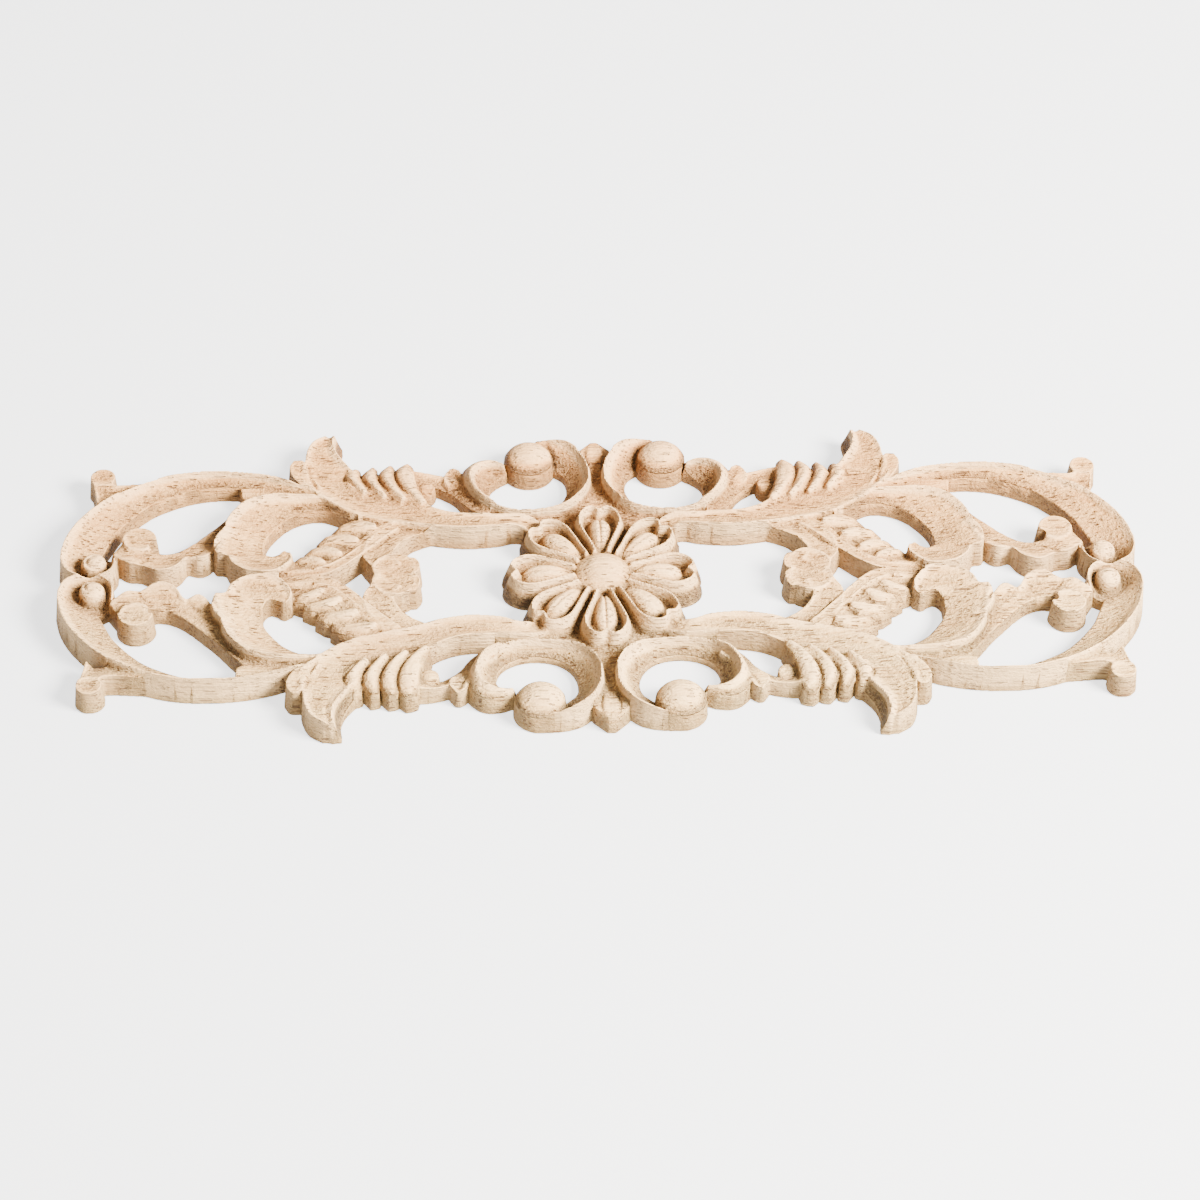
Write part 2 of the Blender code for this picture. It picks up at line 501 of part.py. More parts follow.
def worst_places(xy, tri, heights, target, weight, tolerance, spacing):
    """The cell of each triangle where the flat facet misses the relief most."""
    found = []
    for t in tri:
        p = xy[t]
        i0, j0 = np.maximum(np.ceil(p.min(0) / CELL).astype(int), 0)
        i1, j1 = np.floor(p.max(0) / CELL).astype(int)
        i1 = min(i1, COLUMNS - 1)
        j1 = min(j1, ROWS - 1)
        if i1 < i0 or j1 < j0:
            continue
        x, y = np.meshgrid(np.arange(i0, i1 + 1) * CELL, np.arange(j0, j1 + 1) * CELL)
        d = (p[1, 0] - p[0, 0]) * (p[2, 1] - p[0, 1]) - (p[1, 1] - p[0, 1]) * (p[2, 0] - p[0, 0])
        s = ((x - p[0, 0]) * (p[2, 1] - p[0, 1]) - (y - p[0, 1]) * (p[2, 0] - p[0, 0])) / d
        r = ((p[1, 0] - p[0, 0]) * (y - p[0, 1]) - (p[1, 1] - p[0, 1]) * (x - p[0, 0])) / d
        inside = (s >= 0) & (r >= 0) & (s + r <= 1)
        z = heights[t]
        flat = z[0] + s * (z[1] - z[0]) + r * (z[2] - z[0])
        near = np.min([np.hypot(x - q[0], y - q[1]) for q in p], axis=0)
        miss = np.abs(flat - target[j0:j1 + 1, i0:i1 + 1]) * weight[j0:j1 + 1, i0:i1 + 1]
        miss = np.where(inside & (near > spacing), miss, 0.0)
        k = int(np.argmax(miss))
        if miss.flat[k] > tolerance:
            found.append((float(x.flat[k]), float(y.flat[k])))
    return sorted(set(found))


def quarter():
    """Top surface and flat back of one quarter, in millimetres."""
    tall, lean = carve()
    solid = (tall > 0).astype(float)
    foot = soften(lean, np.ones_like(lean))
    base = outlines(foot, OUTLINE_TOLERANCE, 3.0)
    mask = soften(solid, np.ones_like(solid)) - 0.55
    lips = outlines(np.minimum(mask, (foot - 3.5) * 0.1), OUTLINE_TOLERANCE, 3.0)
    body = (lean > 0.4).astype(float)
    top = soften(np.maximum(lean, 0.0), solid)
    relief = np.where(solid > 0, top, np.maximum(lean, 0.0))
    grow = relief.copy()
    empty = solid == 0
    grow[empty] = soften(np.where(empty, 0.0, relief), solid)[empty]
    sides = sides_of(base)
    points = []
    edges = chain(points, base)
    rims = len(points)
    heights = [0.0] * rims
    edges += chain(points, lips)
    heights += [float(h) for h in sample(np.where(empty, grow, relief), *np.array(points[rims:]).T)]
    weight = np.where(empty, 0.25, 1.0) * body
    known = {p: h for p, h in zip(points, heights)}
    for _ in range(7):
        xy, tri = fill(points, edges, sides)
        z = np.array([known_height(known, p, relief) for p in xy])
        extra = worst_places(xy, tri, z, relief, weight, RELIEF_TOLERANCE, SMALLEST_FACET)
        extra = [p for p in extra if p not in known]
        if not extra:
            break
        for p in extra:
            known[p] = float(relief[int(round(p[1] / CELL)), int(round(p[0] / CELL))])
        points += extra
    for _ in range(9):
        xy, tri = fill(points, edges, sides)
        links, outline, chords = free_edges(xy, tri)
        if not chords:
            break
        for a, b in chords:
            place = tuple(round(float(c), 4) for c in (xy[a] + xy[b]) / 2)
            known[place] = max(float(sample(relief, *place)), 0.5)
            points.append(place)
    z = np.array([known_height(known, p, relief) for p in xy])
    z[outline] = 0.0
    rim = sorted({k for link in links for k in link})
    row = {k: n for n, k in enumerate(rim)}
    ring = [(float(xy[k, 0]), float(xy[k, 1])) for k in rim]
    links = [(row[a], row[b]) for a, b in links]
    flat, back = fill(ring, links, [(ring[a], ring[b]) for a, b in links])
    return np.column_stack([xy, z]), tri, np.column_stack([flat, np.zeros(len(flat))]), back


def free_edges(xy, tri):
    """Edges of one triangle, the corners on the outline, and inner edges that join two of those."""
    pairs = np.concatenate([tri[:, [0, 1]], tri[:, [1, 2]], tri[:, [2, 0]]])
    known = {(int(a), int(b)) for a, b in pairs}
    lone = sorted(e for e in known if (e[1], e[0]) not in known)
    on_x = xy[:, 0] < 1e-6
    on_y = xy[:, 1] < 1e-6
    real = {e for e in lone if not (on_x[e[0]] and on_x[e[1]]) and not (on_y[e[0]] and on_y[e[1]])}
    corners = {k for e in real for k in e}
    chords = {(min(e), max(e)) for e in known if e[0] in corners and e[1] in corners
              and e not in real and (e[1], e[0]) not in real}
    return lone, sorted(corners), sorted(chords)


def known_height(known, place, relief):
    key = (round(float(place[0]), 4), round(float(place[1]), 4))
    if key in known:
        return known[key]
    return float(sample(relief, key[0], key[1]))


def build():
    top, top_tri, flat, flat_tri = quarter()
    index = {}
    verts = []
    faces = []
    for sx in (1, -1):
        for sy in (1, -1):
            for cloud, tris, upward in ((top, top_tri, True), (flat, flat_tri, False)):
                used = sorted({int(k) for t in tris for k in t})
                ids = {}
                for n_point in used:
                    p = cloud[n_point]
                    key = (round(p[0] * sx, 3) + 0.0, round(p[1] * sy, 3) + 0.0, round(p[2], 3))
                    if key not in index:
                        index[key] = len(verts)
                        verts.append([c * 0.001 for c in key])
                    ids[n_point] = index[key]
                for t in tris:
                    face = [ids[int(k)] for k in t]
                    if len(set(face)) == 3:
                        faces.append(face if (sx * sy > 0) == upward else face[::-1])
    mesh = bpy.data.meshes.new("onlay")
    mesh.from_pydata(verts, [], faces)
    mesh.validate()
    mesh.update()
    onlay = bpy.data.objects.new("onlay", mesh)
    bpy.context.scene.collection.objects.link(onlay)
    wood = bpy.data.materials.new("pale_wood")
    wood.use_nodes = True
    shader = wood.node_tree.nodes["Principled BSDF"]
    shader.inputs["Base Color"].default_value = WOOD_COLOUR
    shader.inputs["Roughness"].default_value = 0.62
    mesh.materials.append(wood)
    return onlay


for old in list(bpy.data.objects):
    bpy.data.objects.remove(old, do_unlink=True)
build()
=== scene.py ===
"""Dressed scene of the carved wood onlay: one finely carved piece over the CAD solid."""
import bpy
import numpy as np
from math import cos, pi, radians, sin, tan
from mathutils import Matrix, Vector
from mathutils.geometry import delaunay_2d_cdt


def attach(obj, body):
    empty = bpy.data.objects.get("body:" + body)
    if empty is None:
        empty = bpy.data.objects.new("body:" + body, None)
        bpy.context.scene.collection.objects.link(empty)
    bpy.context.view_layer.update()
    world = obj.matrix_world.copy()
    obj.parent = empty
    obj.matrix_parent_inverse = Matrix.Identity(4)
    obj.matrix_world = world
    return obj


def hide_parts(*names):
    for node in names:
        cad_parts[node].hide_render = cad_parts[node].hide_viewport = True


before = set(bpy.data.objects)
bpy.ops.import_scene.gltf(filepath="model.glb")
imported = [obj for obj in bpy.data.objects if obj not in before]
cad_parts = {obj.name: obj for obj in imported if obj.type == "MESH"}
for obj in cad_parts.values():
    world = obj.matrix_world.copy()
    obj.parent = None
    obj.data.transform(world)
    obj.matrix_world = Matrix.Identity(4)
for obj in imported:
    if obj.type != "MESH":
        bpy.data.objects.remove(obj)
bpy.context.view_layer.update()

# Overall size, metres
LENGTH = 0.3990
WIDTH = 0.1500
THICKNESS = 0.0130

# Rosette in the middle, millimetres
PETALS_PER_QUARTER = 2
PETAL_START = 8.0
PETAL_REACH = 33.6
PETAL_HALF_WIDTH = 7.7
PETAL_NOTCH = 2.0
PETAL_RIM_HEIGHT = 11.3
PETAL_RIM_WIDTH = 0.5
PETAL_FLARE = 3.2
PETAL_GAP_HEIGHT = 2.6
PETAL_GAP_SHARE = 0.86
POD_LENGTH = 19.0
POD_HEIGHT = 5.2
POD_FROM_TIP = 13.4
POD_WIDTH_SHARE = 0.62
MOAT_DEPTH = 5.4
MOAT_SLOPE = 1.7
DOME_RADIUS = 10.3
DOME_DROP = 4.4

# Scrolls and leaves, millimetres
RIM_SHARE = 0.9385
BOSS_CENTRE = (185.7, 7.2)
BOSS_RADIUS = 4.7
CURL_RADIUS = 4.6
HOOK_RADIUS = 6.2
DISC_RADIUS = 7.9
BALL_RADIUS = 9.2
BALL_ROUNDING = 7.6
LEAF_HOLLOW = 1.9
SCROLL_HOLLOW = 1.1
FINGERS = 4
FINGER_WIDTH = 5.8
FINGER_CROWN = 2.0
LOBE_WIDTH = 5.4
WALL_DRAFT_DEG = 5.7
LEAST_DRAFT_DEG = 2.0
LOWEST_CARVING = 1.0

# Samples of a blade lie this share of a cell apart, with some to spare
SAMPLE_SHARE = 0.4
SPARE_SAMPLES = 8

# Fineness of the dressed carving: millimetres, degrees and counts
CELL = 0.25
OUTLINE_TOLERANCE = 0.06
SMALLEST_LOOP = 3.0
LIP_ROUNDING = 0.25
CHORD_ROUNDS = 9
LOWEST_CHORD = 0.5
BEND_SMALL = 0.004
BEND_LARGE = 0.012
VALLEY_BEND = 0.25
SHARP_ANGLE = 48.0
RIPPLE_HEIGHT = 0.045
GROOVE_FADE = 0.25
GROOVE_ROOM = 3

# Levels of the softened footprint, which is 0 outside the carving and 1 well inside it
LIP_LEVEL = 0.5
WALL_LEVEL = 0.8
SHOULDER_LEVEL = 0.93
CORE_LEVEL = 0.97

# Hollows: softening passes that give the surroundings, and the depth that counts as full, millimetres
HOLLOW_PASSES = 240
HOLLOW_DEPTH = 3.2

# Wood, linear colour, among them painted shade and a painted highlight
WHITE = (1.0, 1.0, 1.0)
BLACK = (0.0, 0.0, 0.0)
WOOD_PALE = (0.58, 0.365, 0.156)
WOOD_MID = (0.55, 0.33, 0.137)
WOOD_DEEP = (0.47, 0.262, 0.105)
LINE_TINT = (0.78, 0.70, 0.60)
# Painted shade: steep walls are darkened as if turned away from the light
WALL_PAINTED_SHADE = (0.40, 0.40, 0.38)
FUZZ_DARK = (0.34, 0.32, 0.31)
FUZZ_LIGHT = (1.0, 0.99, 0.98)
# Painted shade in the hollows, where a place lies below its surroundings
HOLLOW_PAINTED_SHADE = (0.42, 0.425, 0.45)
PORE_TINT = (0.09, 0.036, 0.013)
# Painted highlight laid over the crests and lips
EDGE_PAINTED_HIGHLIGHT = (0.60, 0.39, 0.19)
# Painted light and shade across the board: near side painted lit, far side painted darker
NEAR_PAINTED_LIGHT_TINT = (0.96, 1.0, 1.0)
FAR_PAINTED_SHADE_TINT = (0.89, 0.745, 0.63)

# How strongly each tint, painted shade and painted highlight shows, how many of the cells hold a pore, and
# the gains of the masks
LINE_SHARE = 0.9
# Strength of the painted shade on steep walls
WALL_SHADE_SHARE = 0.9
NAP_SHARE = 0.70
# Strength of the painted shade in the hollows
HOLLOW_SHADE_SHARE = 0.7
# Strength of the painted highlight on crests
EDGE_HIGHLIGHT_SHARE = 0.55
PORE_SHARE = 1.1
NAP_IN_HOLLOWS = 3.6
NAP_ELSEWHERE = 0.55
PALEST_PORE = 0.5
PORE_SPREAD = 0.45
CREST_HIGHLIGHT_GAIN = -1.6
# How quickly the painted shade grows towards the far side
FAR_SHADE_PER_METRE = 6.0

# Pattern cells per metre along, across and through the board
BOARD_GRID = (7.0, 60.0, 60.0)
LINE_GRID = (45.0, 900.0, 900.0)
FUZZ_GRID = (750.0, 1200.0, 1200.0)
PATCH_GRID = (22.0, 45.0, 45.0)
PORE_GRID = (125.0, 1050.0, 1050.0)
PORE_AREA_GRID = (9.0, 40.0, 40.0)

# Surface of the wood; the bump distance is in metres
WOOD_SPECULAR = 0.14
SMOOTH_ROUGHNESS = (0.58, 0.58, 0.58)
FUZZY_ROUGHNESS = (0.74, 0.74, 0.74)
LINE_BUMP = 0.5
PORE_BUMP = 0.8
FLAT_NAP_BUMP = 0.25
WOOD_BUMP_STRENGTH = 0.9
WOOD_BUMP_DISTANCE = 0.0023

# Studio, metres
FLOOR_HALF = 12.0
FLOOR_DROP = 0.0003
FLOOR_COLOUR = (0.30, 0.30, 0.30, 1.0)
FLOOR_ROUGHNESS = 0.9
FLOOR_SPECULAR = 0.1
GLOW_COLOUR = (1.0, 1.0, 1.0, 1.0)
FLOOR_GLOW = 2.2
WORLD_COLOUR = (1.0, 1.0, 1.0, 1.0)
WORLD_POWER = 0.35

# Square lamps: name, place, aim, size, power in watts, colour
LAMPS = [
    ("key", (1.20, -0.60, 1.15), (0, 0, 0), 0.7, 440.0, (1.0, 0.98, 0.95)),
    ("top", (-0.2, 0.6, 1.5), (0, 0, 0), 1.4, 12.0, (1.0, 1.0, 1.0)),
    ("front", (-0.4, -1.5, 0.9), (0, 0, 0), 1.2, 12.0, (1.0, 0.98, 0.94)),
]

# Camera: degrees, millimetres of lens and sensor, metres
CAM_ELEVATION = 44.366
CAM_TURN = -4.211
CAM_ROLL = 2.108
CAM_LENS = 111.80
CAM_SENSOR = 36.0
CAM_DISTANCE = 1.3705
CAM_SHIFT = (-0.00085, -0.00368, -0.0020)
CAM_SIGHT = 60.0

# The stations are drawn 399 by 150 by 13 and stretched to the overall size
DRAWN = (0.3990, 0.1500, 0.0130)
STRETCH = (LENGTH / DRAWN[0], WIDTH / DRAWN[1], THICKNESS / DRAWN[2])
RIM = DRAWN[2] * 1000 * RIM_SHARE

# The grid covers one quarter; its span is in drawn millimetres
GRID_SPAN = (206, 86)
COLUMNS = int(GRID_SPAN[0] * STRETCH[0] / CELL)
ROWS = int(GRID_SPAN[1] * STRETCH[1] / CELL)
OUTSIDE = -40.0
FAR_BELOW = -1e7
FAR_AWAY = 1e9

# Places are kept to this many digits; closer points are one, and smaller triangles have no area
DIGITS = 4
CLOSEST = 1e-6
NO_AREA = 1e-7


def grid():
    """Places of the cells of the quarter, millimetres."""
    return np.meshgrid(np.arange(COLUMNS) * CELL, np.arange(ROWS) * CELL)


def spline(points, count):
    """Smooth curve through points of any width; the first two columns set the spacing."""
    p = np.array(points, float)
    gap = np.hypot(*(p[1:, :2] - p[:-1, :2]).T)
    step = np.sqrt(np.maximum(gap, 0.4))
    at = np.concatenate([[0.0], np.cumsum(step)])
    slope = (p[1:] - p[:-1]) / step[:, None]
    tangent = np.empty_like(p)
    tangent[0] = slope[0]
    tangent[-1] = slope[-1]
    share = (step[:-1] / (step[:-1] + step[1:]))[:, None]
    tangent[1:-1] = slope[1:] * share + slope[:-1] * (1.0 - share)
    q = np.linspace(0.0, at[-1], count)
    k = np.clip(np.searchsorted(at, q, "right") - 1, 0, len(p) - 2)
    h = step[k][:, None]
    s = ((q - at[k]) / step[k])[:, None]
    a = (2 * s ** 3 - 3 * s ** 2 + 1) * p[k] + (s ** 3 - 2 * s ** 2 + s) * h * tangent[k]
    b = (3 * s ** 2 - 2 * s ** 3) * p[k + 1] + (s ** 3 - s ** 2) * h * tangent[k + 1]
    return a + b


def to_cells(x, y, z):
    """Mean height of the samples that land in each cell, zero where none does."""
    i = np.rint(x / CELL).astype(int)
    j = np.rint(y / CELL).astype(int)
    keep = (i >= 0) & (j >= 0) & (i < COLUMNS) & (j < ROWS)
    k = (j * COLUMNS + i)[keep]
    total = np.bincount(k, z[keep], COLUMNS * ROWS)
    count = np.bincount(k, minlength=COLUMNS * ROWS)
    return np.where(count > 0, total / np.maximum(count, 1), 0.0).reshape(ROWS, COLUMNS)


def blade(edge_a, edge_b, hollow=0.0):
    """Surface between two edges given as matching stations; hollow sags its middle."""
    a = np.array(edge_a, float) * STRETCH
    b = np.array(edge_b, float) * STRETCH
    middle = (a[:, :2] + b[:, :2]) / 2
    run = max(np.hypot(*(e[1:, :2] - e[:-1, :2]).T).sum() for e in (a, b))
    wide = np.hypot(*(a[:, :2] - b[:, :2]).T).max()
    along = int(run / (CELL * SAMPLE_SHARE)) + SPARE_SAMPLES
    across = int(wide / (CELL * SAMPLE_SHARE)) + SPARE_SAMPLES
    rungs = spline(np.column_stack([middle, a, b]), along)[:, 2:]
    t = np.linspace(0.0, 1.0, across)[None, :]
    x, y, z = (rungs[:, n:n + 1] * (1 - t) + rungs[:, n + 3:n + 4] * t for n in range(3))
    return to_cells(x.ravel(), y.ravel(), (z - hollow * 4 * t * (1 - t)).ravel())


def knob(x, y, centre, radii, top, drop, turn=0.0):
    """Round or oval button that falls by drop from its middle to its rim."""
    c = cos(radians(turn))
    s = sin(radians(turn))
    x = x - centre[0] * STRETCH[0]
    y = y - centre[1] * STRETCH[1]
    r = np.hypot((x * c + y * s) / radii[0], (y * c - x * s) / radii[1])
    return np.where(r <= 1.0, (top - drop * r ** 2) * STRETCH[2], 0.0)


def nearest(x, y, line):
    """Distance from each place to a line of straight pieces, and how far along the line that is."""
    best = np.full(x.shape, FAR_AWAY)
    along = np.zeros(x.shape)
    for n, ((x0, y0), (x1, y1)) in enumerate(zip(line[:-1], line[1:])):
        dx = x1 - x0
        dy = y1 - y0
        t = np.clip(((x - x0) * dx + (y - y0) * dy) / (dx * dx + dy * dy), 0.0, 1.0)
        away = np.hypot(x - x0 - t * dx, y - y0 - t * dy)
        along = np.where(away < best, (n + t) / (len(line) - 1), along)
        best = np.minimum(best, away)
    return best, along


def within(x, y, sides):
    """True where a place lies inside the closed loops made by the sides."""
    odd = np.zeros(x.shape, bool)
    for (x0, y0), (x1, y1) in sides:
        if y0 != y1:
            crosses = (y0 > y) != (y1 > y)
            odd ^= crosses & (x < x0 + (y - y0) * (x1 - x0) / (y1 - y0))
    return odd


def sides_of(loops):
    """Sides of closed loops, each as its two ends."""
    return [side for loop in loops for side in zip(loop, loop[1:] + loop[:1])]


def petal_edge():
    """Half of one heart-shaped petal, from the dome round the lobe to the notch."""
    w = PETAL_HALF_WIDTH
    r = PETAL_REACH
    shape = [(PETAL_START, 0.26 * w), (14.0, 0.5 * w), (20.0, 0.8 * w), (r - 8.1, w),
             (r - 3.6, 0.91 * w), (r - 0.6, 0.6 * w), (r, 0.34 * w),
             (r - PETAL_NOTCH / 2, 0.12 * w), (r - PETAL_NOTCH, 0.0)]
    return [tuple(q) for q in spline(shape, 40)]


def rosette(x, y):
    """Dome, petals with raised rims, and a pod lying in the hollow of each petal."""
    turn = pi / (2 * PETALS_PER_QUARTER)
    r = np.hypot(x, y)
    angle = np.arctan2(y, x)
    angle = angle - np.rint(angle / turn) * turn
    u = r * np.cos(angle)
    v = np.abs(r * np.sin(angle))
    edge = petal_edge()
    inner = within(u, v, sides_of([edge + [(PETAL_START, 0.0)]]))
    away = nearest(u, v, edge)[0]
    outer = PETAL_RIM_HEIGHT - away * PETAL_FLARE
    outer = np.where(r < PETAL_REACH * PETAL_GAP_SHARE, np.maximum(outer, PETAL_GAP_HEIGHT), outer)
    moat = PETAL_RIM_HEIGHT - MOAT_DEPTH * np.clip((away - PETAL_RIM_WIDTH) / MOAT_SLOPE, 0.0, 1.0) ** 0.9
    reach = (u - PETAL_REACH + POD_FROM_TIP) / (POD_LENGTH / 2)
    taper = np.clip(0.5 + 0.034 * (u - PETAL_START), 0.5, 1.1)
    side = v / (POD_WIDTH_SHARE * PETAL_HALF_WIDTH * taper)
    round_off = np.sqrt(np.clip(1.0 - reach ** 2 - side ** 2, 0.0, 1.0))
    pod = PETAL_RIM_HEIGHT - MOAT_DEPTH + POD_HEIGHT * round_off
    petals = np.where(inner, np.where(round_off > 0, np.maximum(moat, pod), moat), outer)
    dome = THICKNESS * 1000 - DOME_DROP * (r / DOME_RADIUS) ** 2.2
    return np.where(r < DOME_RADIUS, dome, np.maximum(petals, 0.0))


def end_scroll(x, y):
    """Big sweeping ribbon that ends in a dished volute round a boss."""
    lip = [(104, 44, 10), (118, 50.2, RIM), (130, 53.3, RIM), (142, 54.3, RIM), (153, 53.6, RIM),
           (163, 51, RIM), (173, 46.3, RIM), (181.4, 40.5, RIM), (189, 32.4, RIM), (194.3, 24, RIM),
           (197.2, 15, RIM), (197.6, 8, RIM), (194.6, 2.0, RIM), (187.5, -0.8, RIM), (181, 1.5, 11.8),
           (178.3, 6.5, 11.4), (178.6, 11.5, 9)]
    inner = [(106, 40.5, 7), (118, 46.8, 7), (130, 49.8, 6.8), (141, 50.7, 6.8), (151, 49.2, 6.8),
             (160, 45.5, 6.8), (167, 41, 6.6), (173, 34.8, 6.4), (178, 28, 6.2), (181, 21.5, 6.0),
             (184.5, 14, 5.0), (189.5, 8, 4.6), (189, 4.5, 4.6), (186.2, 3.2, 4.6), (183.2, 4.6, 4.6),
             (182, 7.5, 4.6), (183, 10.5, 4.6)]
    return [blade(lip, inner, SCROLL_HOLLOW),
            knob(x, y, BOSS_CENTRE, (BOSS_RADIUS, BOSS_RADIUS), RIM + 0.3, 2.4),
            knob(x, y, (184.0, 10.5), (BOSS_RADIUS * 1.38, BOSS_RADIUS * 0.96), 4.8, 0.5, 30)]


def corner_curl(x, y):
    """Small round curl that stands off the outside of the ribbon, with a pointed spur."""
    top = [(160, 51.2, 8), (170, 50.2, 9.4), (176, 49.8, 9.6), (180.4, 50.2, 9.4), (181.4, 53, 9.2)]
    low = [(165, 45, 8), (174, 44, 8), (181, 43.5, 7.0), (185.6, 44.8, 6.6), (187.2, 50, 7.4)]
    spur = [(181.2, 45.5, 6.0), (184.2, 46.8, 7.6), (185.4, 50, 8.6)]
    side = [(186.2, 41.6, 8.6), (186.8, 46, 9.0), (187.9, 51.5, 9.2)]
    return [blade(top, low, 0.4), blade(spur, side, 0.5),
            knob(x, y, (184.6, 54.1), (CURL_RADIUS, CURL_RADIUS), 8.6, -1.0)]


def hooked_leaf(x, y):
    """Broad leaf that curls down from under the acanthus to a hook near the middle line."""
    crest = [(92, 40, 8), (106, 42.2, 11.5), (115, 42.6, 12), (123, 41.8, 12), (130, 39.2, 12),
             (135, 34, 12), (138, 28, 12), (138.8, 24.2, 12), (141.8, 19, 12), (142.2, 14.5, 11.8),
             (140.8, 10.6, 11.5)]
    inner = [(92, 33, 6), (103, 38, 6), (110.5, 36.8, 5.7), (116.5, 33, 5.7), (121, 27.5, 5.7),
             (123.5, 23, 5.7), (124.5, 19, 5.7), (124.6, 16.5, 6), (124.2, 14, 6.5), (123, 12, 7.5),
             (122, 11, 8)]
    hook = [(140.8, 10.8, 11.5), (137.2, 9.8, 11.5), (135.2, 5.8, 11.6), (131, 2.2, 11.6),
            (125.5, 0.8, 11.6), (120, 1.0, 11.6), (115.8, 4.5, 11.2), (113.6, 8.5, 10.6), (114.2, 12, 10)]
    palm = [(124.5, 14, 7), (123.5, 12.3, 8), (122, 11.2, 8.5), (121, 11, 8.5), (120, 11.2, 8.5),
            (119, 11.6, 8.5), (118, 12.2, 8.6), (117.2, 13, 9), (116.2, 13.6, 9.4)]
    bud = [(102, 44, 7), (115, 47.6, 7), (126, 49.4, 7.5), (133, 48.8, 7.5)]
    under = [(102, 38, 6), (115, 41, 6), (125, 41, 6), (132.6, 44, 6.5)]
    return [blade(crest, inner, 0.7), blade(hook, palm, 1.2), blade(bud, under, -0.6)]


def stem_leaf(x, y):
    """Lobed stem between the hooked leaf and the volute, ending in a turned-back hook."""
    top = [(128, 46, 7), (135, 37.5, 6.5), (140, 31, 6.3), (145, 25.5, 6.3), (150, 20.3, 6.3),
           (155, 16.3, 6.5), (160, 14.4, 7), (165, 14.8, 8), (168, 17, 9), (170, 20, 9.6), (173, 23, 9.8)]
    low = [(124, 38, 7), (131, 32, 7), (137, 22, 8), (142.8, 13.4, 9.0), (147, 9.8, 10.2),
           (152.3, 10.6, 9.4), (156, 5.3, 10.2), (161.8, 3, 10.4), (168.2, 6.8, 9.4), (173, 7.6, 10.2),
           (179.4, 12.5, 9.0)]
    hook = knob(x, y, (169.6, 19.4), (HOOK_RADIUS, HOOK_RADIUS * 0.97), 9.2, -1.2)
    bay = knob(x, y, (163.6, 16.8), (HOOK_RADIUS * 0.42, HOOK_RADIUS * 0.36), 1.0, 0.0) > 0
    return [np.where(bay, 0.0, np.maximum(blade(top, low, 0.9), hook))]


def acanthus(x, y):
    """Main leaf: long stem from the rosette, hollow blade, big tip, side lobe and fingers."""
    left = [(14, 24, 4), (27, 31.6, 9.5), (38, 31.8, 9.8), (50, 31.9, 9.8), (58, 34, 9.5), (65, 38.5, 9),
            (70, 44, 9), (77, 47.5, 9), (84, 50, 9.5), (90, 54, 10), (94, 60, 10.5), (97.5, 66, 11),
            (98.5, 71, 11), (98.3, 75, 11)]
    right = [(20, 18, 4), (30, 25.4, 9.5), (39, 24, 11), (50, 23.3, 11), (61, 24.8, 10.5), (73, 27.5, 9.5),
             (85, 30.5, 9.3), (96, 35.6, 10.2), (105, 43, 10.6), (110.5, 51, 11), (109, 60, 11),
             (108.3, 66, 11), (106, 71.5, 11), (101.5, 74.8, 11)]
    lobe = [(103, 46, 10.2), (107, 53, 10.8), (108.6, 58, 11), (110.5, 60.8, 11)]
    lobe_side = [(109.5, 46.5, 10.5), (113.3, 51.5, 10.8), (114.8, 57, 11), (113.2, 60.6, 11)]
    crest = [(92.5, 57.5, 9.5), (97, 63.5, 10.6), (98.6, 69, 11), (98.4, 75.2, 11)]
    flank = [(91.0, 59.0, 5), (94.6, 64.5, 3), (95.9, 69.5, 2), (95.4, 75.8, 2)]
    return [blade(left, right, LEAF_HOLLOW), blade(lobe, lobe_side, 0.5), blade(crest, flank, 0.8)] + [
        finger(n / (FINGERS - 1)) for n in range(FINGERS)]


def ridge(spine, girth, swell, lift, crown):
    """Rounded ridge along a spine: swell is its width and lift its height from root to tip."""
    line = spline(spine, 9)
    along = np.gradient(line, axis=0)
    along /= np.hypot(along[:, 0], along[:, 1])[:, None]
    at = np.linspace(0.0, 1.0, 9)
    half = girth / 2 * np.interp(at, np.linspace(0.0, 1.0, len(swell)), swell)
    high = np.interp(at, np.linspace(0.0, 1.0, len(lift)), lift)
    normal = np.column_stack([-along[:, 1], along[:, 0]]) * half[:, None]
    left = np.column_stack([line + normal, high])
    right = np.column_stack([line - normal, high])
    return blade(left, right, -crown)


def finger(n):
    """One rounded finger on the acanthus edge; n runs from 0 (by the stem) to 1 (by the tip)."""
    root = (65.0 + 21.5 * n, 38.0 + 5.5 * n)
    tip = (70.7 + 19.3 * n, 60.6 - 2.4 * n)
    spine = [root, (root[0] + 5.0 - 1.6 * n, root[1] + 7.0 - 2.5 * n), (tip[0] + 1.5, tip[1] - 6.5), tip]
    girth = FINGER_WIDTH * (1.34 - 1.2 * n + 0.9 * n * n)
    swell = (0.4, 0.7, 0.95, 1.08, 1.0, 0.5)
    lift = (8.6, 9.0, 9.0, 8.8, 8.0, 6.4)
    return ridge(spine, girth, swell, lift, FINGER_CROWN)


